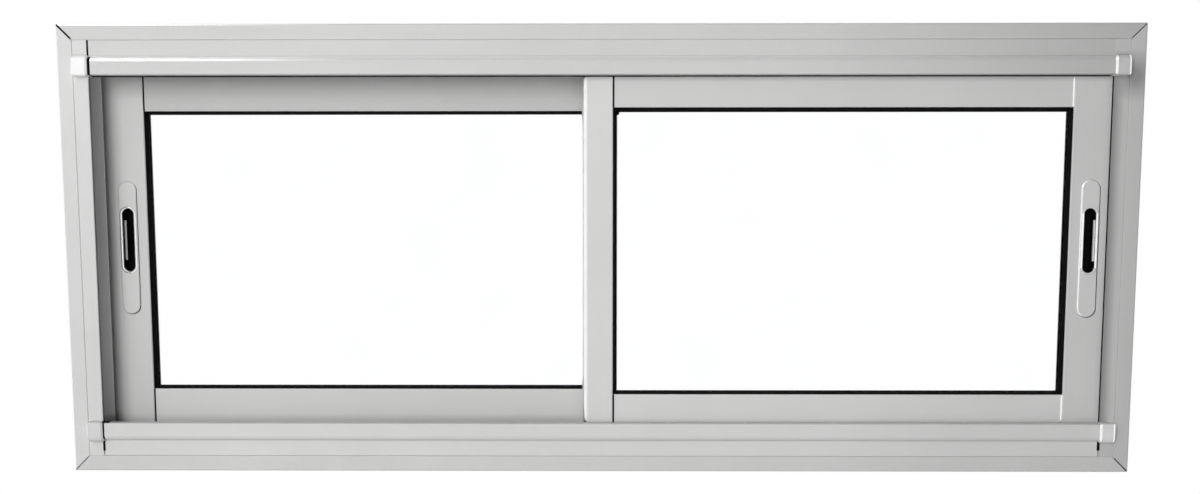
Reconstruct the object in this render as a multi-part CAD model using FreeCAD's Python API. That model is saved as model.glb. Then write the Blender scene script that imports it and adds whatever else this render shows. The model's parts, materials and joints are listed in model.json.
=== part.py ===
import FreeCAD
import Part
import math
import os
from FreeCAD import Vector

# Horizontal sliding window: a two-track aluminium frame with a mitred trim, and two glazed sashes.
# Lengths are in millimetres. +X is to the right, +Y goes into the wall and +Z is up.
# The wall's face is the plane Y = 0, and the origin is on it, behind the middle of the sill trim.

# Overall size, over the outer edges of the trim
OVERALL_WIDTH = 1200.0
OVERALL_HEIGHT = 500.0

# Trim: an angle that laps the wall's face, with a leg along the frame
TRIM_WIDTH = 17.5
TRIM_THICKNESS = 3.0
TRIM_LEG_DEPTH = 14.0
TRIM_LEG_WALL = 1.6
TRIM_EDGE_RADIUS = 2.4
TRIM_MITRE_GAP = 0.6

# Frame: jambs of full height, and between them a head and a sill of a floor, two fins and a front lip
FRAME_WALL = 1.6
BAND_PROUD = 2.0
GROOVE_RADIUS = 0.8
JAMB_GROOVE_RADIUS = 0.3
JAMB_FIN = 16.5
JAMB_MIDDLE_FIN = 14.0
TRACK_FIN = 30.5
FIN_TOP_RADIUS = 0.4
COPE_GAP = 1.0

# Screw holes through the jambs' webs, and weep slots through the sill's rear fin
FIXING_RADIUS = 2.75
FIXING_SPACING = 300.0
WEEP_WIDTH = 26.0
WEEP_HEIGHT = 5.0
WEEP_SPACING = 420.0

# Roller rail of the sill and guide fin of the head, one to each sash
RAIL_HEIGHT = 16.5
RAIL_THICKNESS = 3.0
RAIL_CROWN_RADIUS = 1.2

# Hollow lip along the front of each track
LIP_START = 18.5
LIP_HEIGHT = 20.3
LIP_PROUD = 9.0
LIP_OUTER_RADIUS = 7.0
LIP_INNER_RADIUS = 1.6

# Moulded caps over the ends of the lips
CAP_LAP = 3.5
CAP_SEAT = 14.6
CAP_PROUD = 3.2
CAP_RIM = 1.3
CAP_FIT = 0.25
CAP_OUTER_RADIUS = 7.0
CAP_INNER_RADIUS = 2.5
CAP_SIDE_CHAMFER = 1.9
CAP_TAPER = 2.0

# Sashes: extrusions with a roller channel, a hollow middle and a glazing pocket
SASH_DEPTH = 24.0
SASH_CLEARANCE = 5.0
SASH_GAP = 18.0
SASH_WALL = 1.6
SASH_EDGE_RADIUS = 1.5
TRACK_CLEARANCE = 8.9
STILE_TUCK = 8.5
LOCK_STILE = 49.0
MEETING_STILE = 34.8
MEETING_OVERHANG = 20.0
NOSE_RADIUS = 6.5
TOP_RAIL = 62.4
BOTTOM_RAIL = 59.6
RAIL_SETBACK = 0.7
RAIL_EDGE_RADIUS = 0.7
ROLLER_CHANNEL = 28.0
NOTCH_WIDTH = 16.0
NOTCH_CLEARANCE = 5.0
CORNER_GAP = 0.9

# Interlock of the meeting stiles: a strip with a fin and a lip that hooks behind the other
INTERLOCK_BASE = 12.0
INTERLOCK_WALL = 1.2
INTERLOCK_FIN_OFFSET = 6.0
INTERLOCK_HOOK = 8.0
INTERLOCK_REACH = 11.4
INTERLOCK_END_GAP = 5.0

# Glass and its black gaskets
GLASS_THICKNESS = 5.0
GLASS_BITE = 8.0
GLAZING_POCKET = 11.4
GASKET_SHOW = 2.7
GASKET_BITE = 4.0
GASKET_LIP = 2.4
GASKET_CREST = 0.3
GASKET_MITRE_GAP = 0.3

# Flush pull: a plate over a hole in the stile, with a finger slot, a cup behind it and a latch lever in it
PULL_INSET = 22.1
PULL_RISE = 3.0
PLATE_WIDTH = 21.0
PLATE_HEIGHT = 154.0
PLATE_THICKNESS = 1.6
PLATE_EDGE_CHAMFER = 1.1
SLOT_WIDTH = 13.0
SLOT_HEIGHT = 72.0
SLOT_RISE = 9.0
SLOT_EDGE_CHAMFER = 1.0
PULL_HOLE_WIDTH = 18.2
PULL_HOLE_HEIGHT = 132.0
CUP_DEPTH = 14.0
CUP_WALL = 1.5
LEVER_WIDTH = 1.2
LEVER_HEIGHT = 46.0
LEVER_DEPTH = 3.4
LEVER_FOOT = 1.2
LEVER_SETBACK = 0.2
LEVER_EDGE_RADIUS = 0.4
LEFT_LEVER_SWING = 2.4
LEFT_LEVER_SINK = 3.0
RIGHT_LEVER_SWING = 0.3

# Keepers that the latches hook into, on the webs of the jambs
KEEPER_WIDTH = 16.0
KEEPER_HEIGHT = 70.0
KEEPER_THICKNESS = 1.4
KEEPER_SLOT_WIDTH = 6.0
KEEPER_SLOT_HEIGHT = 34.0

# Rollers in the lower channel of each sash
WHEEL_RADIUS = 9.0
WHEEL_FLANGE = 1.5
WHEEL_WIDTH = 8.0
WHEEL_GROOVE = 4.0
WHEEL_RUNNING_GAP = 0.3
AXLE_RADIUS = 2.0
AXLE_FIT = 0.3
ROLLER_LENGTH = 46.0
ROLLER_CHEEK = 1.6
ROLLER_CHEEK_GAP = 0.5
ROLLER_CROWN = 1.6
ROLLER_INSET = 70.0

# Guide blocks in the upper channel of each sash
GUIDE_LENGTH = 40.0
GUIDE_FIT = 0.3
GUIDE_SLOT_GAP = 0.5
GUIDE_SETBACK = 2.0
GUIDE_SLOT_SPARE = 6.0

# Planes and edges that follow from the sizes above
FRAME_HALF = OVERALL_WIDTH / 2 - TRIM_WIDTH
WEB_FACE = FRAME_HALF - FRAME_WALL
FIN_EDGE = FRAME_HALF - JAMB_FIN
BAND_FRONT = -BAND_PROUD
BAND_BACK = BAND_FRONT + FRAME_WALL
FRONT_SASH = BAND_BACK + SASH_CLEARANCE
REAR_SASH = FRONT_SASH + SASH_DEPTH + SASH_GAP
REAR_FIN = REAR_SASH + SASH_DEPTH + SASH_CLEARANCE
FRAME_BACK = REAR_FIN + FRAME_WALL
MIDDLE_FIN = (FRONT_SASH + SASH_DEPTH + REAR_SASH - FRAME_WALL) / 2
LIP_FRONT = BAND_FRONT - LIP_PROUD
LIP_END = LIP_START + LIP_HEIGHT
SASH_EDGE = FRAME_WALL + TRACK_CLEARANCE
STILE_EDGE = FIN_EDGE + STILE_TUCK
GLASS_EDGE = STILE_EDGE - LOCK_STILE
MEETING_EDGE = MEETING_STILE - MEETING_OVERHANG
PULL_X = GLASS_EDGE + PULL_INSET
MIDDLE_Z = (OVERALL_HEIGHT - TRIM_WIDTH) / 2
PULL_Z = MIDDLE_Z + PULL_RISE
SLOT_Z = PULL_Z + SLOT_RISE


def from_sill(height):
    """Z of a height above the sill's outer face."""
    return height + TRIM_WIDTH / 2


def from_head(height):
    """Z of a height below the head's outer face."""
    return OVERALL_HEIGHT - TRIM_WIDTH * 1.5 - height


def wire(corners, place):
    """Closed wire through flat corners (a, b), or (a, b, radius) where a corner is rounded."""
    stops = []
    for index, corner in enumerate(corners):
        here = Vector(corner[0], corner[1], 0)
        before = Vector(*corners[index - 1][:2], 0)
        after = Vector(*corners[(index + 1) % len(corners)][:2], 0)
        radius = corner[2] if len(corner) > 2 else 0.0
        if radius == 0.0:
            stops.append((here, None, here))
            continue
        back = (before - here).normalize()
        ahead = (after - here).normalize()
        half_turn = back.getAngle(ahead) / 2
        reach = radius / math.tan(half_turn)
        middle = (back + ahead).normalize() * (radius / math.sin(half_turn) - radius)
        stops.append((here + back * reach, here + middle, here + ahead * reach))
    edges = []
    for index, (start, middle, end) in enumerate(stops):
        last = stops[index - 1][2]
        if last.distanceToPoint(start) > 1e-6:
            edges.append(Part.LineSegment(place(last), place(start)).toShape())
        if middle is not None:
            edges.append(Part.Arc(place(start), place(middle), place(end)).toShape())
    return Part.Wire(edges)


def extrusion(outlines, place, travel):
    """Solid swept along travel from an outer outline and the outlines of its hollows."""
    def to_space(point):
        return place(point.x, point.y)

    wires = [wire(outline, to_space) for outline in outlines]
    return Part.makeFace(wires, "Part::FaceMakerBullseye").extrude(travel)


def block(low, high):
    """Box between two corners, given in any order."""
    base = Vector(*[min(a, b) for a, b in zip(low, high)])
    size = [abs(a - b) for a, b in zip(low, high)]
    return Part.makeBox(*size, base)


def rectangle(low_a, low_b, high_a, high_b):
    """Corners of a plain rectangle."""
    return [(low_a, low_b), (high_a, low_b), (high_a, high_b), (low_a, high_b)]


def obround(centre_x, centre_z, width, height, front, back):
    """Upright bar with round ends, from the depth front to the depth back."""
    low_x = centre_x - width / 2
    high_x = centre_x + width / 2
    low_z = centre_z - height / 2
    high_z = centre_z + height / 2
    radius = width / 2
    corners = [(a, b, radius) for a, b in rectangle(low_x, low_z, high_x, high_z)]
    return extrusion([corners], lambda x, z: Vector(x, front, z), Vector(0, back - front, 0))


def mitred_ring(low, high, section, outward, inward, gap):
    """Four bars of one section round an upright rectangle, cut at 45 degrees to each other.

    The section's corners are (distance out from the rectangle's edge, depth). outward and inward are
    how far it reaches to each side, and gap is the width of the joints.
    """
    (low_x, low_z), (high_x, high_z) = low, high
    half_gap = gap / math.sqrt(2)
    depths = [corner[1] for corner in section]
    depth = max(depths) - min(depths)
    sides = {
        "sill": (low_x, high_x, lambda along, out: (along, low_z - out)),
        "head": (low_x, high_x, lambda along, out: (along, high_z + out)),
        "left": (low_z, high_z, lambda along, out: (low_x - out, along)),
        "right": (low_z, high_z, lambda along, out: (high_x + out, along)),
    }
    bars = {}
    for name, (start, end, at) in sides.items():
        first = start - outward

        def place(out, y, at=at, first=first):
            x, z = at(first, out)
            return Vector(x, y, z)

        run = end - start + 2 * outward
        x_run, z_run = at(first + run, 0)
        x_first, z_first = at(first, 0)
        bar = extrusion([section], place, Vector(x_run - x_first, 0, z_run - z_first))
        keep = [
            at(start - outward + half_gap, outward),
            at(end + outward - half_gap, outward),
            at(end - inward - half_gap, -inward),
            at(start + inward + half_gap, -inward),
        ]
        wedge = extrusion([keep], lambda x, z: Vector(x, min(depths), z), Vector(0, depth, 0))
        bars[name] = bar.common(wedge)
    return bars


def trims():
    """Mitred angle round the frame, its back on the wall's face."""
    section = [
        (0, TRIM_LEG_DEPTH),
        (TRIM_LEG_WALL, TRIM_LEG_DEPTH),
        (TRIM_LEG_WALL, 0),
        (TRIM_WIDTH, 0),
        (TRIM_WIDTH, -TRIM_THICKNESS, TRIM_EDGE_RADIUS),
        (0, -TRIM_THICKNESS, GROOVE_RADIUS),
    ]
    low = (-FRAME_HALF, from_sill(0))
    high = (FRAME_HALF, from_head(0))
    return mitred_ring(low, high, section, TRIM_WIDTH, 0, TRIM_MITRE_GAP)


def jamb(side):
    """Upright channel with a front, a middle and a rear fin, for the side -1 or 1.

    Its screw holes are in the pocket that the closed sash leaves empty.
    """
    section = [
        (FRAME_HALF, BAND_FRONT, JAMB_GROOVE_RADIUS),
        (FIN_EDGE, BAND_FRONT, GROOVE_RADIUS),
        (FIN_EDGE, BAND_BACK),
        (WEB_FACE, BAND_BACK),
        (WEB_FACE, MIDDLE_FIN),
        (FRAME_HALF - JAMB_MIDDLE_FIN, MIDDLE_FIN),
        (FRAME_HALF - JAMB_MIDDLE_FIN, MIDDLE_FIN + FRAME_WALL),
        (WEB_FACE, MIDDLE_FIN + FRAME_WALL),
        (WEB_FACE, REAR_FIN),
        (FIN_EDGE, REAR_FIN),
        (FIN_EDGE, FRAME_BACK),
        (FRAME_HALF, FRAME_BACK),
    ]
    bottom = from_sill(0)
    top = from_head(0)
    bar = extrusion([section], lambda x, y: Vector(side * x, y, bottom), Vector(0, 0, top - bottom))
    for at in (from_sill, from_head):
        cope = block(
            (side * WEB_FACE, BAND_BACK, at(0)),
            (side * FIN_EDGE, FRAME_BACK, at(TRACK_FIN + COPE_GAP)),
        )
        bar = bar.cut(cope)
    pocket = BAND_BACK if side < 0 else MIDDLE_FIN + FRAME_WALL
    pocket_end = MIDDLE_FIN if side < 0 else REAR_FIN
    for rise in (-FIXING_SPACING / 2, FIXING_SPACING / 2):
        base = Vector(side * WEB_FACE, (pocket + pocket_end) / 2, MIDDLE_Z + rise)
        bar = bar.cut(Part.makeCylinder(FIXING_RADIUS, FRAME_WALL, base, Vector(side, 0, 0)))
    return bar


def cap_socket():
    """Outline of a cap's pocket for the end of a lip, its corners cut straight past the lip's."""
    front = LIP_FRONT - CAP_FIT
    low = LIP_START - CAP_FIT
    high = LIP_END + CAP_FIT
    tangent = 2 - math.sqrt(2)
    outer = (LIP_OUTER_RADIUS + CAP_FIT) * tangent
    inner = (LIP_INNER_RADIUS + CAP_FIT) * tangent
    return [
        (BAND_FRONT, low),
        (front + outer, low),
        (front, low + outer),
        (front, high - inner),
        (front + inner, high),
        (BAND_FRONT, high),
    ]


def track(at):
    """Floor of the head or sill, with a guide fin or roller rail for each sash."""
    rails = []
    for front in (REAR_SASH, FRONT_SASH):
        centre = front + SASH_DEPTH / 2
        near = centre - RAIL_THICKNESS / 2
        far = centre + RAIL_THICKNESS / 2
        rails.append([
            (far, FRAME_WALL),
            (far, RAIL_HEIGHT, RAIL_CROWN_RADIUS),
            (near, RAIL_HEIGHT, RAIL_CROWN_RADIUS),
            (near, FRAME_WALL),
        ])
    section = [
        (BAND_BACK, 0),
        (REAR_FIN, 0),
        (REAR_FIN, FRAME_WALL),
        *rails[0],
        *rails[1],
        (BAND_BACK, FRAME_WALL),
    ]
    return extrusion([section], lambda y, z: Vector(-WEB_FACE, y, at(z)), Vector(2 * WEB_FACE, 0, 0))


def lip(at):
    """Cover along the front of the head or sill: a flat band with a hollow lip, cut between the jambs."""
    section = [
        (BAND_FRONT, 0, GROOVE_RADIUS),
        (BAND_BACK, 0),
        (BAND_BACK, LIP_END),
        (LIP_FRONT, LIP_END, LIP_INNER_RADIUS),
        (LIP_FRONT, LIP_START, LIP_OUTER_RADIUS),
        (BAND_FRONT, LIP_START),
    ]
    hollow = [
        (BAND_FRONT, LIP_START + FRAME_WALL),
        (LIP_FRONT + FRAME_WALL, LIP_START + FRAME_WALL, LIP_OUTER_RADIUS - FRAME_WALL),
        (LIP_FRONT + FRAME_WALL, LIP_END - FRAME_WALL),
        (BAND_FRONT, LIP_END - FRAME_WALL),
    ]
    end = FIN_EDGE - COPE_GAP
    return extrusion([section, hollow], lambda y, z: Vector(-end, y, at(z)), Vector(2 * end, 0, 0))


def fins(at):
    """Middle fin on the floor of the head or sill, and the rear fin that closes its back edge."""
    bars = []
    for depth, foot in ((MIDDLE_FIN, FRAME_WALL), (REAR_FIN, 0)):
        section = [
            (depth, foot),
            (depth + FRAME_WALL, foot),
            (depth + FRAME_WALL, TRACK_FIN, FIN_TOP_RADIUS),
            (depth, TRACK_FIN, FIN_TOP_RADIUS),
        ]
        bar = extrusion([section], lambda y, z: Vector(-WEB_FACE, y, at(z)), Vector(2 * WEB_FACE, 0, 0))
        bars.append(bar)
    return bars


def weeping(fin):
    """Rear fin of the sill with weep slots through it, just above the floor."""
    low = from_sill(FRAME_WALL)
    half = WEEP_WIDTH / 2
    for x in (-WEEP_SPACING, 0, WEEP_SPACING):
        corners = rectangle(x - half, low, x + half, low + WEEP_HEIGHT)
        outline = [(a, b, WEEP_HEIGHT / 2) for a, b in corners]
        slot = extrusion([outline], lambda a, z: Vector(a, REAR_FIN, z), Vector(0, FRAME_WALL, 0))
        fin = fin.cut(slot)
    return fin


def track_cap(side, at):
    """Moulded cap that closes the end of a lip and sits on the jamb beside it, narrower towards the trim."""
    inner = FIN_EDGE - CAP_LAP
    outer = FIN_EDGE + CAP_SEAT
    front = LIP_FRONT - CAP_PROUD
    low = LIP_START - CAP_RIM
    high = LIP_END + CAP_RIM
    section = [
        (BAND_FRONT, low),
        (front, low, CAP_OUTER_RADIUS),
        (front, high, CAP_INNER_RADIUS),
        (BAND_FRONT, high),
    ]

    def place(y, z):
        return Vector(side * inner, y, at(z))

    body = extrusion([section], place, Vector(side * (outer - inner), 0, 0))
    free = []
    for face in body.Faces:
        if abs(face.normalAt(0, 0).x) > 0.9:
            free += [edge for edge in face.Edges if edge.BoundBox.YMin < BAND_FRONT - 1e-6]
    body = body.makeChamfer(CAP_SIDE_CHAMFER, free)
    corner = [(outer - CAP_TAPER, low), (outer, low), (outer, high)]
    inward = Vector(0, BAND_FRONT - front, 0)
    wedge = extrusion([corner], lambda x, z: Vector(side * x, front, at(z)), inward)
    socket = extrusion([cap_socket()], place, Vector(side * CAP_LAP, 0, 0))
    return body.cut(wedge).cut(socket)


def keeper(side, sash_front):
    """Strike plate on the jamb's web, level with the latch."""
    centre = sash_front + SASH_DEPTH / 2

    def outline(width, height):
        return rectangle(centre - width / 2, SLOT_Z - height / 2, centre + width / 2, SLOT_Z + height / 2)

    plate = outline(KEEPER_WIDTH, KEEPER_HEIGHT)
    slot = outline(KEEPER_SLOT_WIDTH, KEEPER_SLOT_HEIGHT)
    inward = Vector(-side * KEEPER_THICKNESS, 0, 0)
    return extrusion([plate, slot], lambda y, z: Vector(side * WEB_FACE, y, z), inward)


def stile_section(width, outer_front_radius):
    """Stile outline (from the glass side, depth): a glazing pocket, then a hollow box."""
    inside = SASH_DEPTH - SASH_WALL
    return [
        [
            (0, 0, SASH_EDGE_RADIUS),
            (width, 0, outer_front_radius),
            (width, SASH_DEPTH, SASH_EDGE_RADIUS),
            (0, SASH_DEPTH, SASH_EDGE_RADIUS),
            (0, inside),
            (GLAZING_POCKET, inside),
            (GLAZING_POCKET, SASH_WALL),
            (0, SASH_WALL),
        ],
        [
            (GLAZING_POCKET + SASH_WALL, SASH_WALL),
            (width - SASH_WALL, SASH_WALL, max(outer_front_radius - SASH_WALL, 0.0)),
            (width - SASH_WALL, inside),
            (GLAZING_POCKET + SASH_WALL, inside),
        ],
    ]


def notched(stile, sash_front):
    """Stile with slots through both ends that clear the roller rail and the guide fin."""
    centre = sash_front + SASH_DEPTH / 2
    box = stile.BoundBox
    for at in (from_sill, from_head):
        slot = block(
            (box.XMin, centre - NOTCH_WIDTH / 2, at(SASH_EDGE)),
            (box.XMax, centre + NOTCH_WIDTH / 2, at(RAIL_HEIGHT + NOTCH_CLEARANCE)),
        )
        stile = stile.cut(slot)
    return stile


def lock_stile(side, sash_front):
    """Outer stile of a sash, which closes into the jamb and carries the pull."""
    bottom = from_sill(SASH_EDGE)
    height = from_head(SASH_EDGE) - bottom
    bar = extrusion(
        stile_section(LOCK_STILE, SASH_EDGE_RADIUS),
        lambda across, depth: Vector(side * (GLASS_EDGE + across), sash_front + depth, bottom),
        Vector(0, 0, height),
    )
    back = sash_front + SASH_WALL
    hole = obround(side * PULL_X, PULL_Z, PULL_HOLE_WIDTH, PULL_HOLE_HEIGHT, sash_front, back)
    return notched(bar, sash_front).cut(hole)


def meeting_stile(side, sash_front):
    """Inner stile with a round nose on the face that is turned away from the other sash."""
    bottom = from_sill(SASH_EDGE)
    height = from_head(SASH_EDGE) - bottom
    sash_back = sash_front + SASH_DEPTH

    def place(across, depth):
        y = sash_front + depth if side > 0 else sash_back - depth
        return Vector(side * (MEETING_EDGE - across), y, bottom)

    bar = extrusion(stile_section(MEETING_STILE, NOSE_RADIUS), place, Vector(0, 0, height))
    return notched(bar, sash_front)


def interlock(side, sash_front):
    """Strip on a meeting stile, facing the other sash: a base, a fin and a hooking lip."""
    seat = sash_front + SASH_DEPTH if side > 0 else sash_front
    toward = 1 if side > 0 else -1
    fin = INTERLOCK_FIN_OFFSET
    low = from_sill(TRACK_FIN + INTERLOCK_END_GAP)
    high = from_head(TRACK_FIN + INTERLOCK_END_GAP)
    section = [
        (fin - INTERLOCK_BASE / 2, 0),
        (fin + INTERLOCK_BASE / 2, 0),
        (fin + INTERLOCK_BASE / 2, INTERLOCK_WALL),
        (fin + INTERLOCK_WALL, INTERLOCK_WALL),
        (fin + INTERLOCK_WALL, INTERLOCK_REACH),
        (fin - INTERLOCK_HOOK, INTERLOCK_REACH),
        (fin - INTERLOCK_HOOK, INTERLOCK_REACH - INTERLOCK_WALL),
        (fin, INTERLOCK_REACH - INTERLOCK_WALL),
        (fin, INTERLOCK_WALL),
        (fin - INTERLOCK_BASE / 2, INTERLOCK_WALL),
    ]
    return extrusion(
        [section],
        lambda across, reach: Vector(-side * across, seat + toward * reach, low),
        Vector(0, 0, high - low),
    )


def sash_rail(side, sash_front, at, height):
    """Top or bottom rail between the stiles, set back from them: channel, hollow box and glazing pocket."""
    inside = SASH_DEPTH - SASH_WALL
    back = SASH_DEPTH - RAIL_SETBACK
    pocket = height - GLAZING_POCKET
    outline = [
        (RAIL_SETBACK, 0),
        (SASH_WALL, 0),
        (SASH_WALL, ROLLER_CHANNEL),
        (inside, ROLLER_CHANNEL),
        (inside, 0),
        (back, 0),
        (back, height, RAIL_EDGE_RADIUS),
        (inside, height),
        (inside, pocket),
        (SASH_WALL, pocket),
        (SASH_WALL, height),
        (RAIL_SETBACK, height, RAIL_EDGE_RADIUS),
    ]
    hollow = rectangle(SASH_WALL, ROLLER_CHANNEL + SASH_WALL, inside, pocket - SASH_WALL)
    start = MEETING_EDGE + CORNER_GAP
    end = GLASS_EDGE - CORNER_GAP
    return extrusion(
        [outline, hollow],
        lambda depth, rise: Vector(side * start, sash_front + depth, at(SASH_EDGE + rise)),
        Vector(side * (end - start), 0, 0),
    )


def opening(side):
    """Lower and upper corners (x, z) of the rectangle between a sash's metal edges."""
    across = sorted((side * MEETING_EDGE, side * GLASS_EDGE))
    return (across[0], from_sill(SASH_EDGE + BOTTOM_RAIL)), (across[1], from_head(SASH_EDGE + TOP_RAIL))


def glass(side, sash_front):
    """Pane in the middle of the sash's depth, set into the glazing pockets."""
    (low_x, low_z), (high_x, high_z) = opening(side)
    front = sash_front + (SASH_DEPTH - GLASS_THICKNESS) / 2
    return block(
        (low_x - GLASS_BITE, front, low_z - GLASS_BITE),
        (high_x + GLASS_BITE, front + GLASS_THICKNESS, high_z + GLASS_BITE),
    )


def gasket(side, sash_front, face):
    """Four strips of wedge gasket between the glass and the pocket walls, on the face -1 or 1."""
    low, high = opening(side)
    middle = sash_front + SASH_DEPTH / 2
    pane = middle + face * GLASS_THICKNESS / 2
    wall = middle + face * (SASH_DEPTH / 2 - SASH_WALL)
    section = [
        (GASKET_BITE, pane),
        (GASKET_BITE, wall),
        (-GASKET_CREST, wall),
        (-GASKET_SHOW, pane + face * GASKET_LIP),
        (-GASKET_SHOW, pane),
    ]
    strips = mitred_ring(low, high, section, GASKET_BITE, GASKET_SHOW, GASKET_MITRE_GAP)
    return Part.makeCompound(list(strips.values()))


def pull_plate(side, sash_front):
    """Raised face plate with round ends and a finger slot above its middle."""
    front = sash_front - PLATE_THICKNESS
    plate = obround(side * PULL_X, PULL_Z, PLATE_WIDTH, PLATE_HEIGHT, front, sash_front)
    rim = [edge for edge in plate.Edges if edge.BoundBox.YMax < front + 1e-6]
    plate = plate.makeChamfer(PLATE_EDGE_CHAMFER, rim)
    slot = obround(side * PULL_X, SLOT_Z, SLOT_WIDTH, SLOT_HEIGHT, front, sash_front)
    plate = plate.cut(slot)
    reach = SLOT_WIDTH / 2 + SLOT_EDGE_CHAMFER / 2
    mouth = []
    for edge in plate.Edges:
        box = edge.BoundBox
        near = max(abs(box.XMin - side * PULL_X), abs(box.XMax - side * PULL_X))
        if box.YMax < front + 1e-6 and near < reach:
            mouth.append(edge)
    return plate.makeChamfer(SLOT_EDGE_CHAMFER, mouth)


def pull_cup(side, sash_front):
    """Open cup behind the slot, its rim against the back of the plate."""
    outer_width = SLOT_WIDTH + 2 * CUP_WALL
    outer_height = SLOT_HEIGHT + 2 * CUP_WALL
    floor = sash_front + CUP_DEPTH
    shell = obround(side * PULL_X, SLOT_Z, outer_width, outer_height, sash_front, floor + CUP_WALL)
    return shell.cut(obround(side * PULL_X, SLOT_Z, SLOT_WIDTH, SLOT_HEIGHT, sash_front, floor))


def pull_lever(side, sash_front):
    """Latch lever: a thin tongue along the jamb side of the slot, with a foot on the cup's wall.

    The left latch is shown off its stop, so its lever stands deeper and further from the wall.
    """
    wall = PULL_X + SLOT_WIDTH / 2
    near = wall - (LEFT_LEVER_SWING if side < 0 else RIGHT_LEVER_SWING)
    front = sash_front - PLATE_THICKNESS + LEVER_SETBACK + (LEFT_LEVER_SINK if side < 0 else 0)
    rear = front + LEVER_DEPTH
    section = [
        (near, front, LEVER_EDGE_RADIUS),
        (near - LEVER_WIDTH, front, LEVER_EDGE_RADIUS),
        (near - LEVER_WIDTH, rear),
        (wall, rear),
        (wall, rear - LEVER_FOOT),
        (near, rear - LEVER_FOOT),
    ]
    low = SLOT_Z - LEVER_HEIGHT / 2
    return extrusion([section], lambda x, y: Vector(side * x, y, low), Vector(0, 0, LEVER_HEIGHT))


def ends_of_rail(side, inset):
    """X of the two places that lie inset from the stiles along a sash's rails."""
    return side * (MEETING_EDGE + inset), side * (GLASS_EDGE - inset)


def roller_housings(side, sash_front):
    """Two brackets under the roof of the lower channel, each with its axle."""
    middle = sash_front + SASH_DEPTH / 2
    roof = from_sill(SASH_EDGE + ROLLER_CHANNEL)
    axle_z = from_sill(RAIL_HEIGHT + WHEEL_RUNNING_GAP + WHEEL_RADIUS)
    cheek = WHEEL_WIDTH / 2 + ROLLER_CHEEK_GAP
    brackets = []
    for x in ends_of_rail(side, ROLLER_INSET):
        low_x = x - ROLLER_LENGTH / 2
        high_x = x + ROLLER_LENGTH / 2
        bracket = block(
            (low_x, middle - cheek - ROLLER_CHEEK, roof - ROLLER_CROWN),
            (high_x, middle + cheek + ROLLER_CHEEK, roof),
        )
        side_outline = [
            (low_x, roof),
            (high_x, roof),
            (x + AXLE_RADIUS * 2, axle_z - AXLE_RADIUS * 2),
            (x - AXLE_RADIUS * 2, axle_z - AXLE_RADIUS * 2),
        ]
        for y in (middle - cheek - ROLLER_CHEEK, middle + cheek):
            ear = extrusion([side_outline], lambda a, z: Vector(a, y, z), Vector(0, ROLLER_CHEEK, 0))
            bracket = bracket.fuse(ear)
        span = 2 * (cheek + ROLLER_CHEEK)
        axle = Part.makeCylinder(AXLE_RADIUS, span, Vector(x, middle - span / 2, axle_z), Vector(0, 1, 0))
        brackets.append(bracket.fuse(axle).removeSplitter())
    return Part.makeCompound(brackets)


def roller_wheels(side, sash_front):
    """Two grooved wheels that run on the sill's rail."""
    middle = sash_front + SASH_DEPTH / 2
    axle_z = from_sill(RAIL_HEIGHT + WHEEL_RUNNING_GAP + WHEEL_RADIUS)
    flange = WHEEL_RADIUS + WHEEL_FLANGE
    section = [
        (AXLE_RADIUS + AXLE_FIT, -WHEEL_WIDTH / 2),
        (flange, -WHEEL_WIDTH / 2),
        (WHEEL_RADIUS, -WHEEL_GROOVE / 2),
        (WHEEL_RADIUS, WHEEL_GROOVE / 2),
        (flange, WHEEL_WIDTH / 2),
        (AXLE_RADIUS + AXLE_FIT, WHEEL_WIDTH / 2),
    ]
    wheels = []
    for x in ends_of_rail(side, ROLLER_INSET):
        corners = [Vector(x, middle + y, axle_z + radius) for radius, y in section]
        face = Part.Face(Part.makePolygon(corners + corners[:1]))
        wheels.append(face.revolve(Vector(x, middle, axle_z), Vector(0, 1, 0), 360))
    return Part.makeCompound(wheels)


def guide_blocks(side, sash_front):
    """Two sliding blocks in the upper channel, slotted over the head's guide fin."""
    middle = sash_front + SASH_DEPTH / 2
    half = SASH_DEPTH / 2 - SASH_WALL - GUIDE_FIT
    slot = RAIL_THICKNESS / 2 + GUIDE_SLOT_GAP
    mouth = SASH_EDGE + GUIDE_SETBACK
    roof = SASH_EDGE + ROLLER_CHANNEL
    section = [
        (middle - half, roof),
        (middle + half, roof),
        (middle + half, mouth),
        (middle + slot, mouth),
        (middle + slot, RAIL_HEIGHT + GUIDE_SLOT_SPARE),
        (middle - slot, RAIL_HEIGHT + GUIDE_SLOT_SPARE),
        (middle - slot, mouth),
        (middle - half, mouth),
    ]
    blocks = []
    for x in ends_of_rail(side, ROLLER_INSET):
        low_x = x - GUIDE_LENGTH / 2
        bar = extrusion(
            [section], lambda y, z: Vector(low_x, y, from_head(z)), Vector(GUIDE_LENGTH, 0, 0),
        )
        blocks.append(bar)
    return Part.makeCompound(blocks)


def frame_pieces():
    """Pieces of the fixed frame, by node name."""
    pieces = {name + "_trim": bar for name, bar in trims().items()}
    for name, at in (("head", from_head), ("sill", from_sill)):
        pieces[name + "_track"] = track(at)
        pieces[name + "_lip"] = lip(at)
        pieces[name + "_left_cap"] = track_cap(-1, at)
        pieces[name + "_right_cap"] = track_cap(1, at)
    middle, rear = fins(from_sill)
    pieces["sill_fins"] = Part.makeCompound([middle, weeping(rear)])
    pieces["head_fins"] = Part.makeCompound(fins(from_head))
    pieces["left_jamb"] = jamb(-1)
    pieces["right_jamb"] = jamb(1)
    pieces["keepers"] = Part.makeCompound([keeper(-1, REAR_SASH), keeper(1, FRONT_SASH)])
    return pieces


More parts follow.
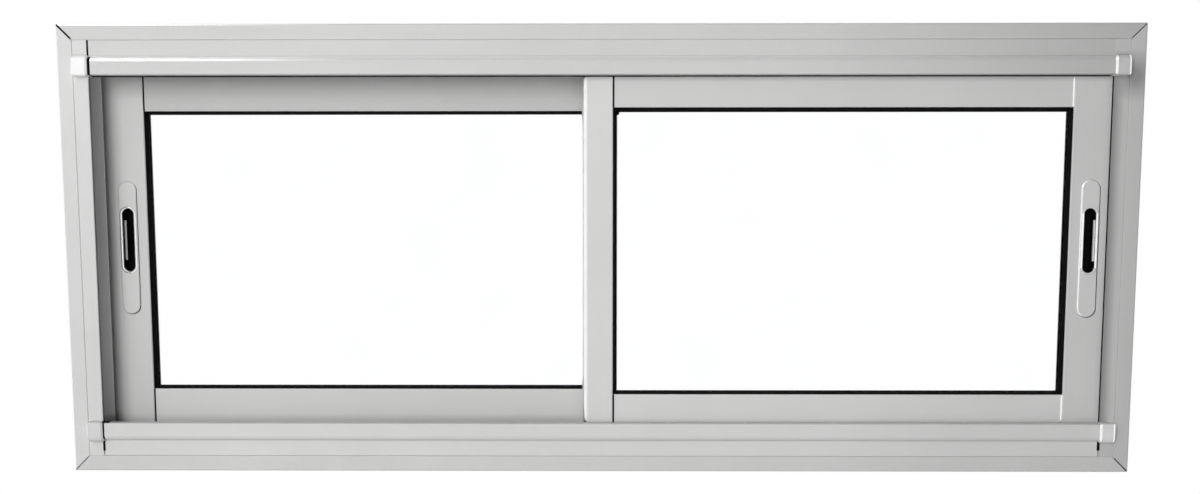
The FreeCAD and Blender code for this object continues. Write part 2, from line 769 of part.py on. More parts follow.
def sash_pieces(name, side, sash_front):
    """Pieces of one sash, by node name."""
    pieces = {
        "lock_stile": lock_stile(side, sash_front),
        "meeting_stile": meeting_stile(side, sash_front),
        "interlock": interlock(side, sash_front),
        "top_rail": sash_rail(side, sash_front, from_head, TOP_RAIL),
        "bottom_rail": sash_rail(side, sash_front, from_sill, BOTTOM_RAIL),
        "glass": glass(side, sash_front),
        "front_gasket": gasket(side, sash_front, -1),
        "back_gasket": gasket(side, sash_front, 1),
        "pull_plate": pull_plate(side, sash_front),
        "pull_cup": pull_cup(side, sash_front),
        "pull_lever": pull_lever(side, sash_front),
        "roller_housings": roller_housings(side, sash_front),
        "roller_wheels": roller_wheels(side, sash_front),
        "guide_blocks": guide_blocks(side, sash_front),
    }
    return {name + "_" + piece: shape for piece, shape in pieces.items()}


def main():
    """Build every piece and write each to its own file."""
    os.makedirs("parts", exist_ok=True)
    pieces = frame_pieces()
    pieces.update(sash_pieces("left", -1, REAR_SASH))
    pieces.update(sash_pieces("right", 1, FRONT_SASH))
    for name, shape in pieces.items():
        shape.exportStep("parts/" + name + ".step")


main()
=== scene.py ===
"""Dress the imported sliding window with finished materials, add its small fittings and set it up on white."""
import json
import logging
import math
from collections.abc import Callable
from dataclasses import dataclass
from enum import Enum

import bpy
from mathutils import Matrix, Vector


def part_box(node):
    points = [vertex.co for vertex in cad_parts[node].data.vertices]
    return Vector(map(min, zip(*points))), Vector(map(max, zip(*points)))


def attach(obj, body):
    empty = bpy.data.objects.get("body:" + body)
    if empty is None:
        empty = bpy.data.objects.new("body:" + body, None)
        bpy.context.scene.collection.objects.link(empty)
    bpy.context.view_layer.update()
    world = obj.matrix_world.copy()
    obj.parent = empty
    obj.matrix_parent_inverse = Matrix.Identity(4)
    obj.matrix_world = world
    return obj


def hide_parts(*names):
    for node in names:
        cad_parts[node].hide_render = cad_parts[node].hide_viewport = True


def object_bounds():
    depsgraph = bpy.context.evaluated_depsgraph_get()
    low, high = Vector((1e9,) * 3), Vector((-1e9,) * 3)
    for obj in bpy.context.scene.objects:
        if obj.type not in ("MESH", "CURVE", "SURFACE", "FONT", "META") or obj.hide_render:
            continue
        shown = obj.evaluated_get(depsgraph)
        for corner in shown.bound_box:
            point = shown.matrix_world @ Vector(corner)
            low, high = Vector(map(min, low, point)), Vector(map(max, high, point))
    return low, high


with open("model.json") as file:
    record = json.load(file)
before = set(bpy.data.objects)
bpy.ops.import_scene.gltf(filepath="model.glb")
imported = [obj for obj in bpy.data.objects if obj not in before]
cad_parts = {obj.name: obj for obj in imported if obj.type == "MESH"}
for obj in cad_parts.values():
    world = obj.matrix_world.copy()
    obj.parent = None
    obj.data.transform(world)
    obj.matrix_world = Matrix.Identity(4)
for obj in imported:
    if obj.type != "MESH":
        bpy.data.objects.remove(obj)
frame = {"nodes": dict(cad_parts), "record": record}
CAD_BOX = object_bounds()
LOG = logging.getLogger("sliding_window")
MM = 0.001
# Distance under which two points count as one, and height of the finest bumps, in metres
NEAR = 1e-6
GRAIN = 0.05 * MM
Triple = tuple[float, float, float]
FaceTest = Callable[[bpy.types.MeshPolygon], bool]


class Run(Enum):
    """Way that the drawing lines of an extrusion run, as the scale of their noise along X, Y and Z."""

    ACROSS = (3.0, 700.0, 700.0)
    UPRIGHT = (700.0, 700.0, 3.0)


class Half(Enum):
    """Half of the window, as the sign of an axis."""

    @property
    def word(self) -> str:
        """Half's name as the CAD nodes spell it."""
        return self.name.lower()


class Side(Half):
    """Side of the window, as the sign of X."""

    LEFT = -1
    RIGHT = 1


class Level(Half):
    """Level of the window, as the sign of Z."""

    SILL = -1
    HEAD = 1


class Shader:
    """Node tree of one material, with short calls that add and join its nodes."""

    def __init__(self, name: str) -> None:
        """Start a material around its Principled BSDF.

        Args:
            name: Name of the material.
        """
        self.material = bpy.data.materials.new(name)
        self.material.use_nodes = True
        self.tree = self.material.node_tree
        self.surface = self.tree.nodes["Principled BSDF"]
        self.place = self.add("ShaderNodeTexCoord").outputs["Object"]

    def add(self, kind: str, inputs: dict | None = None, **settings: object) -> bpy.types.Node:
        """Add a node.

        Args:
            kind: Blender's name for the node.
            inputs: Values or sockets for its inputs, by name or number.
            **settings: Properties of the node.

        Returns:
            The new node.
        """
        node = self.tree.nodes.new(kind)
        for key, value in settings.items():
            setattr(node, key, value)
        for key, value in (inputs or {}).items():
            self.feed(node, key, value)
        return node

    def feed(self, node: bpy.types.Node, key: str | int, value: object) -> None:
        """Set an input of a node, or link a socket to it.

        Args:
            node: Node whose input is set.
            key: Name or number of the input.
            value: A value, or the output socket to link.
        """
        if isinstance(value, bpy.types.NodeSocket):
            self.tree.links.new(value, node.inputs[key])
        else:
            node.inputs[key].default_value = value

    def noise(
        self, scale: float, detail: float = 3.0, vector: bpy.types.NodeSocket | None = None,
    ) -> bpy.types.NodeSocket:
        """Add fractal noise, scaled in cells to the metre on Object coordinates or a vector, and return its value."""
        inputs = {"Vector": vector or self.place, "Scale": scale, "Detail": detail}
        return self.add("ShaderNodeTexNoise", inputs).outputs["Fac"]

    def stretched(self, scale: Triple) -> bpy.types.NodeSocket:
        """Add Object coordinates that are scaled along X, Y and Z, and return them."""
        return self.add("ShaderNodeMapping", {"Vector": self.place, "Scale": scale}).outputs["Vector"]

    def spread(
        self, value: bpy.types.NodeSocket, low: float, high: float, start: float = 0.3, end: float = 0.7,
    ) -> bpy.types.NodeSocket:
        """Map a value between start and end to one from low to high, clamped at both ends, and return it."""
        inputs = {"Value": value, "From Min": start, "From Max": end, "To Min": low, "To Max": high}
        return self.add("ShaderNodeMapRange", inputs).outputs["Result"]

    def part(self, axis: str) -> bpy.types.NodeSocket:
        """Add the X, Y or Z of the Object coordinates and return it."""
        return self.add("ShaderNodeSeparateXYZ", {0: self.place}).outputs[axis]

    def times(self, first: object, second: object) -> bpy.types.NodeSocket:
        """Multiply two values and return the product."""
        return self.add("ShaderNodeMath", {0: first, 1: second}, operation="MULTIPLY").outputs[0]

    def most(self, first: object, second: object) -> bpy.types.NodeSocket:
        """Return the higher of two values."""
        return self.add("ShaderNodeMath", {0: first, 1: second}, operation="MAXIMUM").outputs[0]

    def blend(self, amount: object, first: object, second: object) -> bpy.types.NodeSocket:
        """Mix two colours.

        Args:
            amount: Share of the second colour.
            first: Colour or socket.
            second: Colour or socket.

        Returns:
            The mixed colour.
        """
        node = self.add("ShaderNodeMix", data_type="RGBA")
        self.feed(node, 0, amount)
        for key, value in ((6, first), (7, second)):
            self.feed(node, key, value if isinstance(value, bpy.types.NodeSocket) else (*value, 1.0))
        return node.outputs[2]

    def edges(self, radius: float, reach: float) -> tuple[bpy.types.NodeSocket, bpy.types.NodeSocket]:
        """Add a normal that rounds sharp edges, and a mask of those edges.

        Args:
            radius: Radius of the rounding in metres.
            reach: Drop of the normals' dot product at which the mask is full.

        Returns:
            The rounded normal, and the mask from 0 on flats to 1 on edges.
        """
        rounded = self.add("ShaderNodeBevel", {"Radius": radius}, samples=4).outputs["Normal"]
        flat = self.add("ShaderNodeNewGeometry").outputs["True Normal"]
        turn = self.add("ShaderNodeVectorMath", {0: rounded, 1: flat}, operation="DOT_PRODUCT").outputs["Value"]
        return rounded, self.spread(turn, 1.0, 0.0, 1.0 - reach, 1.0)

    def bump(
        self, height: bpy.types.NodeSocket, strength: float, distance: float,
        normal: bpy.types.NodeSocket | None = None,
    ) -> bpy.types.NodeSocket:
        """Add a bump.

        Args:
            height: Socket with the height.
            strength: Strength of the bump.
            distance: Height that a value of 1 stands for, in metres.
            normal: Normal that the bump starts from.

        Returns:
            The bumped normal.
        """
        inputs = {"Height": height, "Strength": strength, "Distance": distance}
        if normal is not None:
            inputs["Normal"] = normal
        return self.add("ShaderNodeBump", inputs).outputs["Normal"]

    def finish(self, **inputs: object) -> bpy.types.Material:
        """Set the inputs of the Principled BSDF, with _ for each space in their names.

        Args:
            **inputs: Values or sockets.

        Returns:
            The finished material.
        """
        for key, value in inputs.items():
            self.feed(self.surface, key.replace("_", " "), value)
        return self.material


def scaled(colour: Triple, factor: float) -> Triple:
    """Colour made darker or lighter by a factor."""
    return tuple(min(1.0, factor * part) for part in colour)


@dataclass(frozen=True)
class Grime:
    """Painted shade that thins out along an axis from a start to an end, and stops past its levels where it has them.
    """

    axis: str
    start: float
    end: float
    soot: float = 0.42
    levels: tuple[float, float] | None = None
    level_fade: float = 8.0 * MM

    def clean_share(self, shader: Shader) -> bpy.types.NodeSocket:
        """Add the share of unshaded coat.

        Args:
            shader: Shader to add to.

        Returns:
            The share: none at the start, all at the end and past the levels.
        """
        unshaded = shader.spread(shader.part(self.axis), 0.0, 1.0, self.start, self.end)
        if self.levels is not None:
            low, high = self.levels
            below = shader.spread(shader.part("Z"), 1.0, 0.0, low - self.level_fade, low)
            above = shader.spread(shader.part("Z"), 0.0, 1.0, high, high + self.level_fade)
            unshaded = shader.most(unshaded, shader.most(below, above))
        return unshaded


@dataclass(frozen=True)
class Smudge:
    """Round painted shadow, full near its place and gone far from it."""

    place: Triple
    near: float
    far: float
    soot: float

    def clean_share(self, shader: Shader) -> bpy.types.NodeSocket:
        """Add the share of unshaded coat to a shader, none near the place and all far from it, and return it."""
        gap = shader.add("ShaderNodeVectorMath", {0: shader.place, 1: self.place}, operation="DISTANCE")
        return shader.spread(gap.outputs["Value"], 0.0, 1.0, self.near, self.far)


@dataclass(frozen=True)
class PowderCoat:
    """Satin coat on aluminium: orange peel, faint drawing lines, worn edges that are also a painted highlight, and
    painted shade and shadow.
    """

    name: str
    colour: Triple
    rubbed: Triple
    run: Run
    gloss: tuple[float, float] = (0.30, 0.42)
    bareness: float = 0.6
    grime: Grime | None = None
    smudge: Smudge | None = None
    cloud_scale: float = 6.0
    cloud_tones: tuple[float, float] = (0.96, 1.03)
    line_tone: float = 0.95
    line_share: float = 0.25
    edge_radius: float = 0.7 * MM
    edge_reach: float = 0.10
    rub_scale: float = 45.0
    rub_range: tuple[float, float] = (0.35, 0.95)
    peel_scale: float = 1300.0
    peel_strength: float = 0.10
    line_strength: float = 0.08

    def material(self) -> bpy.types.Material:
        """Build the material.

        Returns:
            The material.
        """
        shader = Shader(self.name)
        lines = shader.noise(1.0, 2.0, shader.stretched(self.run.value))
        clouds = shader.noise(self.cloud_scale, 4.0)
        rounded, edge = shader.edges(self.edge_radius, self.edge_reach)
        worn = shader.noise(self.rub_scale, 4.0)
        # Edges worn lighter and to bare metal: real wear, and also a painted highlight on every edge
        rub_highlight = shader.times(edge, shader.spread(worn, *self.rub_range, start=0.38, end=0.62))
        dark, pale = (scaled(self.colour, factor) for factor in self.cloud_tones)
        tone = shader.blend(shader.spread(clouds, 0.0, 1.0), dark, pale)
        tone = shader.blend(shader.spread(lines, 0.0, self.line_share), tone, scaled(self.colour, self.line_tone))
        # Painted shade: darker along an axis where shade falls
        if self.grime is not None:
            unshaded = self.grime.clean_share(shader)
            rub_highlight = shader.times(rub_highlight, unshaded)
            tone = shader.blend(unshaded, scaled(self.colour, self.grime.soot), tone)
        # Painted shadow: a round dark patch
        if self.smudge is not None:
            tone = shader.blend(self.smudge.clean_share(shader), scaled(self.colour, self.smudge.soot), tone)
        tone = shader.blend(rub_highlight, tone, self.rubbed)
        peel = shader.bump(shader.noise(self.peel_scale, 2.0), self.peel_strength, GRAIN, rounded)
        drawn = shader.bump(lines, self.line_strength, GRAIN, peel)
        rough = shader.spread(clouds, *self.gloss)
        # Bare metal on the worn edges, which also makes a painted highlight
        bare_highlight_share = shader.times(rub_highlight, self.bareness)
        return shader.finish(Base_Color=tone, Metallic=bare_highlight_share, Roughness=rough, Normal=drawn)


@dataclass(frozen=True)
class MouldedPlastic:
    """Moulded plastic: fine spark texture, slight colour drift, and edges worn lighter that are also a painted
    highlight.
    """

    name: str
    colour: Triple
    rubbed: Triple
    gloss: tuple[float, float] = (0.4, 0.55)
    shine: float = 0.5
    drift_scale: float = 35.0
    drift_tone: float = 0.94
    edge_radius: float = 0.6 * MM
    edge_reach: float = 0.12
    rub_scale: float = 150.0
    rub_range: tuple[float, float] = (0.4, 0.95)
    spark_scale: float = 2600.0
    spark_strength: float = 0.12

    def material(self) -> bpy.types.Material:
        """Build the material.

        Returns:
            The material.
        """
        shader = Shader(self.name)
        drift = shader.noise(self.drift_scale)
        rounded, edge = shader.edges(self.edge_radius, self.edge_reach)
        # Edges worn lighter: real wear, and also a painted highlight on every edge
        rub_highlight = shader.times(edge, shader.spread(shader.noise(self.rub_scale), *self.rub_range, start=0.4, end=0.6))
        tone = shader.blend(shader.spread(drift, 0.0, 1.0), scaled(self.colour, self.drift_tone), self.colour)
        tone = shader.blend(rub_highlight, tone, self.rubbed)
        texture = shader.bump(shader.noise(self.spark_scale, 2.0), self.spark_strength, GRAIN, rounded)
        rough = shader.spread(drift, *self.gloss)
        return shader.finish(Base_Color=tone, Roughness=rough, Normal=texture, Specular_IOR_Level=self.shine)


@dataclass(frozen=True)
class Rubber:
    """Black rubber: matt, with a dusty bloom and a fine skin."""

    name: str
    colour: Triple
    bloom: Triple
    gloss: tuple[float, float] = (0.7, 0.85)
    shine: float = 0.08
    dust_scale: float = 90.0
    dust_share: float = 0.5
    skin_scale: float = 1800.0
    skin_strength: float = 0.2

    def material(self) -> bpy.types.Material:
        """Build the material.

        Returns:
            The material.
        """
        shader = Shader(self.name)
        dust = shader.noise(self.dust_scale, 5.0)
        share = shader.spread(dust, 0.0, self.dust_share, start=0.45, end=0.75)
        tone = shader.blend(share, self.colour, self.bloom)
        skin = shader.bump(shader.noise(self.skin_scale, 2.0), self.skin_strength, GRAIN)
        rough = shader.spread(dust, *self.gloss)
        return shader.finish(Base_Color=tone, Roughness=rough, Normal=skin, Specular_IOR_Level=self.shine)


@dataclass(frozen=True)
class BrushPile:
    """Dark brush pile: single fibres that catch a little light, over a shaded root."""

    name: str
    colour: Triple
    tips: Triple
    roughness: float = 0.9
    shine: float = 0.1
    fibre_scale: float = 2400.0
    fibre_strength: float = 0.8
    fibre_height: float = 0.3 * MM
    clump_scale: float = 180.0

    def material(self) -> bpy.types.Material:
        """Build the material.

        Returns:
            The material.
        """
        shader = Shader(self.name)
        fibres = shader.noise(self.fibre_scale)
        clumps = shader.noise(self.clump_scale)
        lit = shader.spread(fibres, 0.0, 1.0, start=0.45, end=0.7)
        tone = shader.blend(shader.times(lit, shader.spread(clumps, 0.4, 1.0)), self.colour, self.tips)
        brush = shader.bump(fibres, self.fibre_strength, self.fibre_height)
        return shader.finish(
            Base_Color=tone, Roughness=self.roughness, Normal=brush, Specular_IOR_Level=self.shine,
        )


@dataclass(frozen=True)
class FloatGlass:
    """Clear float glass with a trace of green and a faint film."""

    name: str
    colour: Triple
    film: Triple
    film_scale: float = 12.0
    smear_scale: float = 40.0
    smear_roughness: float = 0.01
    refraction: float = 1.45

    def material(self) -> bpy.types.Material:
        """Build the material.

        Returns:
            The material.
        """
        shader = Shader(self.name)
        tone = shader.blend(shader.spread(shader.noise(self.film_scale, 4.0), 0.0, 1.0), self.colour, self.film)
        smears = shader.noise(self.smear_scale, 4.0)
        rough = shader.spread(smears, 0.0, self.smear_roughness, start=0.5, end=0.8)
        return shader.finish(Base_Color=tone, Roughness=rough, IOR=self.refraction, Transmission_Weight=1.0)


@dataclass(frozen=True)
class PlatedSteel:
    """Zinc-plated pressed steel: cloudy spangle, rolling lines, and edges painted lighter as a highlight."""

    name: str
    colour: Triple
    bright: Triple
    gloss: tuple[float, float] = (0.28, 0.45)
    spangle_scale: float = 260.0
    spangle_tone: float = 0.8
    edge_radius: float = 0.3 * MM
    edge_reach: float = 0.2
    line_strength: float = 0.15

    def material(self) -> bpy.types.Material:
        """Build the material.

        Returns:
            The material.
        """
        shader = Shader(self.name)
        cells = shader.add("ShaderNodeTexVoronoi", {"Vector": shader.place, "Scale": self.spangle_scale})
        spangle = shader.spread(cells.outputs["Distance"], 0.0, 1.0, start=0.1, end=0.7)
        rounded, edge = shader.edges(self.edge_radius, self.edge_reach)
        tone = shader.blend(spangle, scaled(self.colour, self.spangle_tone), self.colour)
        # Painted highlight: edges lighter
        tone = shader.blend(edge, tone, self.bright)
        rolled = shader.noise(1.0, 2.0, shader.stretched(Run.UPRIGHT.value))
        lines = shader.bump(rolled, self.line_strength, GRAIN, rounded)
        rough = shader.spread(spangle, *self.gloss, start=0.0, end=1.0)
        return shader.finish(Base_Color=tone, Metallic=1.0, Roughness=rough, Normal=lines)


@dataclass(frozen=True)
class PolishedRim:
    """Bright polished metal, laid on edges as a painted highlight, with fine turning marks and a few dull spots."""

    name: str
    colour: Triple
    gloss: tuple[float, float] = (0.16, 0.3)
    spot_scale: float = 160.0
    spot_tone: float = 0.9
    mark_scale: float = 3200.0
    mark_strength: float = 0.06
    mark_height: float = 0.02 * MM

    def material(self) -> bpy.types.Material:
        """Build the material.

        Returns:
            The material.
        """
        shader = Shader(self.name)
        dull = shader.noise(self.spot_scale, 4.0)
        spots = shader.spread(dull, 0.0, 1.0, start=0.5, end=0.8)
        tone = shader.blend(spots, self.colour, scaled(self.colour, self.spot_tone))
        marks = shader.bump(shader.noise(self.mark_scale, 2.0), self.mark_strength, self.mark_height)
        rough = shader.spread(dull, *self.gloss)
        return shader.finish(Base_Color=tone, Metallic=1.0, Roughness=rough, Normal=marks)


@dataclass(frozen=True)
class Turn:
    """Where a painted highlight starts, is full, is still full and is gone, as the normal's dot product with one way.
    """

    start: float
    full: float
    still: float
    gone: float


@dataclass(frozen=True)
class BuffedEdge:
    """Rounded edge of a coated extrusion, with a painted highlight where it turns one way.

    Along X the painted highlight fades over a range to what is left of it, the rest. Where the edge turns furthest
    the coat is painted lighter too, standing for the light it catches.
    """

    name: str
    coat: Triple
    way: Triple
    turn: Turn
    fade: tuple[float, float] | None = None
    rest: float = 0.03
    grime: Grime | None = None
    lift: float = 1.0
    lift_turn: tuple[float, float] = (0.6, 0.9)
    bright: Triple = (0.97, 0.97, 0.965)
    gloss: tuple[float, float] = (0.38, 0.2)
    wear_scale: float = 45.0
    peel_scale: float = 1300.0
    peel_strength: float = 0.08

    def material(self) -> bpy.types.Material:
        """Build the material.

        Returns:
            The material.
        """
        shader = Shader(self.name)
        normal = shader.add("ShaderNodeNewGeometry").outputs["Normal"]
        dot = shader.add("ShaderNodeVectorMath", {0: normal, 1: self.way}, operation="DOT_PRODUCT")
        turned = dot.outputs["Value"]
        # Painted highlight: bright metal where the normal turns the given way
        begun = shader.spread(turned, 0.0, 1.0, self.turn.start, self.turn.full)
        share = shader.times(begun, shader.spread(turned, 1.0, 0.0, self.turn.still, self.turn.gone))
        share = shader.times(share, shader.spread(shader.noise(self.wear_scale, 4.0), 0.85, 1.0))
        if self.fade is not None:
            share = shader.times(share, shader.spread(shader.part("X"), 1.0, self.rest, *self.fade))
        plain, painted_lifted = self.coat, scaled(self.coat, self.lift)
        # Painted shade, as on the coat next to it
        if self.grime is not None:
            unshaded = self.grime.clean_share(shader)
            plain = shader.blend(unshaded, scaled(plain, self.grime.soot), plain)
            painted_lifted = shader.blend(unshaded, scaled(painted_lifted, self.grime.soot), painted_lifted)
        # Painted light: the coat lighter where the edge turns furthest
        coat = shader.blend(shader.spread(turned, 0.0, 1.0, *self.lift_turn), plain, painted_lifted)
        tone = shader.blend(share, coat, self.bright)
        peel = shader.bump(shader.noise(self.peel_scale, 2.0), self.peel_strength, GRAIN)
        rough = shader.spread(share, *self.gloss, start=0.0, end=1.0)
        return shader.finish(Base_Color=tone, Metallic=share, Roughness=rough, Normal=peel)


class Finishes:
    """Materials of the window, each built once."""

    def __init__(self) -> None:
        """Build every material."""
        silver: Triple = (0.605, 0.605, 0.6)
        # Lighter colour of worn edges, which also serves as a painted highlight
        rubbed: Triple = (0.88, 0.88, 0.875)
        self.across = PowderCoat("silver_coat_across", silver, rubbed, Run.ACROSS).material()
        self.upright = PowderCoat("silver_coat_upright", silver, rubbed, Run.UPRIGHT).material()
        # Painted light: a lighter copy of the coat for parts that should look more brightly lit
        lit_silver = scaled(silver, 1.09)
        self.fresh_across = PowderCoat("fresh_coat_across", lit_silver, rubbed, Run.ACROSS).material()
        self.fresh_upright = PowderCoat("fresh_coat_upright", lit_silver, rubbed, Run.UPRIGHT).material()
        # Painted shade: a darker copy of the coat, for the right trim and for the left sash's top rail under the
        # head's lip
        dull = scaled(silver, 0.88)
        # Painted shadow of the upper right cap, on the right trim and the right jamb
        smudge = Smudge((0.588, -0.004, 0.434), near=5.0 * MM, far=30.0 * MM, soot=0.52)
        self.dulled = PowderCoat("dulled_coat", dull, dull, Run.UPRIGHT, bareness=0.0, smudge=smudge).material()
        self.dulled_across = PowderCoat("dulled_coat_across", dull, rubbed, Run.ACROSS).material()
        # Painted shade: the head and its lip darker towards the right end
        head_right_shade = Grime("X", start=0.62, end=0.25, soot=0.78)
        self.head = PowderCoat("head_coat", silver, rubbed, Run.ACROSS, grime=head_right_shade).material()
        # Painted shade along the right jamb's inner edge beside the sash, except near the head and the sill
        self.soiled = PowderCoat(
            "soiled_coat", dull, dull, Run.UPRIGHT, bareness=0.0, smudge=smudge,
            grime=Grime("X", start=0.5655, end=0.5775, levels=(0.034, 0.448)),
        ).material()
        # Painted shade: a lighter copy of the coat that darkens deeper into the left jamb's pockets
        self.pocket = PowderCoat(
            "pocket_coat", lit_silver, lit_silver, Run.UPRIGHT, bareness=0.0,
            grime=Grime("Y", start=0.04, end=0.002, soot=0.32),
        ).material()
        # Painted shadow of the left jamb on the front of the left lock stile, darkest at its outer edge
        self.closing_edge = PowderCoat(
            "closing_edge_coat", silver, rubbed, Run.UPRIGHT,
            grime=Grime("X", start=-0.571, end=-0.5605, soot=0.5),
        ).material()
        # Painted highlights: bright metal on rounded edges that turn up or to the left, towards the lamps
        up, left, right = (0.0, 0.0, 1.0), (-1.0, 0.0, 0.0), (1.0, 0.0, 0.0)
        edge = Turn(start=0.1, full=0.45, still=0.8, gone=0.97)
        self.buffed_top = BuffedEdge(
            "buffed_top", silver, up, edge, fade=(-0.5, -0.28), grime=head_right_shade, lift=1.65,
        ).material()
        self.buffed_left = BuffedEdge("buffed_left", lit_silver, left, edge).material()
        # Painted highlight on the rounded noses of the meeting stiles
        nose = Turn(start=0.02, full=0.32, still=1.1, gone=1.2)
        self.noses = {
            Side.RIGHT: BuffedEdge("front_nose", lit_silver, left, nose).material(),
            Side.LEFT: BuffedEdge("rear_nose", lit_silver, right, nose).material(),
        }
        self.pull = PowderCoat(
            "pull_coat", (0.63, 0.63, 0.625), (0.93, 0.93, 0.925), Run.UPRIGHT, gloss=(0.24, 0.34),
        ).material()
        # Bright metal for painted highlights on edges that face the lamps
        self.rim = PolishedRim("polished_rim", (0.97, 0.97, 0.965)).material()
        # Painted light and shade: lighter and darker copies of one cap plastic, lightest at the upper left
        cap_light_tones = {
            (Level.HEAD, Side.LEFT): 0.9, (Level.HEAD, Side.RIGHT): 0.6,
            (Level.SILL, Side.LEFT): 0.7, (Level.SILL, Side.RIGHT): 0.76,
        }
        self.caps = {
            (level, side): MouldedPlastic(
                f"{level.word}_{side.word}_plastic", (tone, tone, 0.993 * tone), (0.97, 0.97, 0.965),
            ).material()
            for (level, side), tone in cap_light_tones.items()
        }
        black: Triple = (0.004, 0.004, 0.0045)
        self.cup = MouldedPlastic(
            "black_cup", black, (0.012, 0.012, 0.012), gloss=(0.5, 0.65), shine=0.1,
        ).material()
        # Painted light and shade: one lever plastic, darker on the left lever and lighter on the right one
        self.levers = {
            Side.LEFT: MouldedPlastic("left_lever_plastic", (0.4, 0.4, 0.395), (0.5, 0.5, 0.495)).material(),
            Side.RIGHT: MouldedPlastic("right_lever_plastic", (0.82, 0.82, 0.815), (0.93, 0.93, 0.925)).material(),
        }
        self.nylon = MouldedPlastic(
            "white_nylon", (0.72, 0.71, 0.67), (0.82, 0.81, 0.78), gloss=(0.35, 0.5),
        ).material()
        self.rubber = Rubber("glazing_rubber", (0.003, 0.003, 0.003), (0.012, 0.012, 0.012)).material()
        self.pile = BrushPile("brush_pile", (0.006, 0.006, 0.007), (0.035, 0.035, 0.036)).material()
        self.glass = FloatGlass("float_glass", (0.985, 0.995, 0.99), (0.995, 0.998, 0.997)).material()
        self.steel = PlatedSteel("zinc_plated_steel", (0.58, 0.59, 0.6), (0.8, 0.8, 0.8)).material()


def deselect() -> None:
    """Leave edit mode and deselect every object."""
    if bpy.context.object is not None and bpy.context.object.mode != "OBJECT":
        bpy.ops.object.mode_set(mode="OBJECT")
    bpy.ops.object.select_all(action="DESELECT")


def take(piece: bpy.types.Object) -> None:
    """Make a piece the only selected object, and the active one.

    Args:
        piece: Piece to select.
    """
    deselect()
    piece.select_set(True)
    bpy.context.view_layer.objects.active = piece


def select(piece: bpy.types.Object, kind: str, test: Callable[[object], bool]) -> None:
    """Go to edit mode with the faces or the edges selected that pass a test.

    Args:
        piece: Piece whose faces or edges are selected.
        kind: FACE or EDGE.
        test: Says of a face or an edge whether it is selected.
    """
    take(piece)
    bpy.ops.object.mode_set(mode="EDIT")
    bpy.ops.mesh.select_mode(type=kind)
    bpy.ops.mesh.select_all(action="DESELECT")
    bpy.ops.object.mode_set(mode="OBJECT")
    for part in piece.data.polygons if kind == "FACE" else piece.data.edges:
        part.select = test(part)
    bpy.ops.object.mode_set(mode="EDIT")


def select_edges(piece: bpy.types.Object, test: Callable[[Vector, Vector], bool]) -> None:
    """Go to edit mode with the edges of a piece selected whose ends, by their places, pass a test."""
    select(piece, "EDGE", lambda edge: test(*(piece.data.vertices[end].co for end in edge.vertices)))


def bevel(offset: float, segments: int) -> None:
    """Round the selected edges, cut back by an offset in metres, and leave edit mode."""
    bpy.ops.mesh.bevel(offset=offset, segments=segments, affect="EDGES")
    bpy.ops.object.mode_set(mode="OBJECT")


def facing(way: int) -> Matrix:
    """Turn that makes a screw's head face +X, or -X where the way is negative."""
    return Matrix.Identity(4) if way > 0 else Matrix.Rotation(math.pi, 4, "Z")


def turned_out(way: Triple, least: float = 0.05) -> FaceTest:
    """Make a test of a face: whether at least a part of its normal is to the front, and as much along a way."""
    return lambda face: face.normal.dot(Vector(way)) > least and face.normal.y < -least


def apply_modifier(piece: bpy.types.Object, kind: str, **settings: object) -> None:
    """Add a modifier to a piece and apply it.

    Args:
        piece: Piece to change.
        kind: Blender's name for the modifier.
        **settings: Properties of the modifier.
    """
    take(piece)
    modifier = piece.modifiers.new(kind.title(), kind)
    for key, value in settings.items():
        setattr(modifier, key, value)
    bpy.ops.object.modifier_apply(modifier=modifier.name)


def shade(piece: bpy.types.Object, angle: float = 40.0) -> None:
    """Shade a piece smooth, with flats kept flat and edges sharper than an angle kept sharp.

    Args:
        piece: Piece to shade.
        angle: Angle in degrees.
    """
    take(piece)
    bpy.ops.object.shade_smooth_by_angle(angle=math.radians(angle))
    apply_modifier(piece, "WEIGHTED_NORMAL", mode="FACE_AREA", weight=80, keep_sharp=True)


def soften_edges(piece: bpy.types.Object, width: float, segments: int = 2, angle: float = 42.0) -> None:
    """Round the sharp edges of a piece and shade it.

    Args:
        piece: Piece to change.
        width: Width of the rounding in metres.
        segments: Facets across each rounding.
        angle: Sharpest angle, in degrees, that stays as it is.
    """
    apply_modifier(
        piece, "BEVEL", width=width, segments=segments, limit_method="ANGLE", angle_limit=math.radians(angle),
    )
    shade(piece)


def bar(name: str, low: Triple, high: Triple, rounding: float | None = None) -> bpy.types.Object:
    """Start a piece from a box between two corners, with its place in its mesh.

    Args:
        name: Name of the piece.
        low: Lowest corner in metres.
        high: Highest corner in metres.
        rounding: Width of the rounding of its edges, where they are rounded.

    Returns:
        The piece.
    """
    deselect()
    middle = [(first + last) / 2 for first, last in zip(low, high)]
    bpy.ops.mesh.primitive_cube_add(size=1.0, location=middle)
    piece = bpy.context.object
    piece.name = name
    piece.scale = [last - first for first, last in zip(low, high)]
    bpy.ops.object.transform_apply(location=True, rotation=True, scale=True)
    if rounding is not None:
        soften_edges(piece, rounding)
    return piece


def cut(piece: bpy.types.Object, cutter: bpy.types.Object) -> None:
    """Cut a cutter out of a piece and delete the cutter."""
    apply_modifier(piece, "BOOLEAN", operation="DIFFERENCE", solver="EXACT", object=cutter)
    bpy.data.objects.remove(cutter, do_unlink=True)


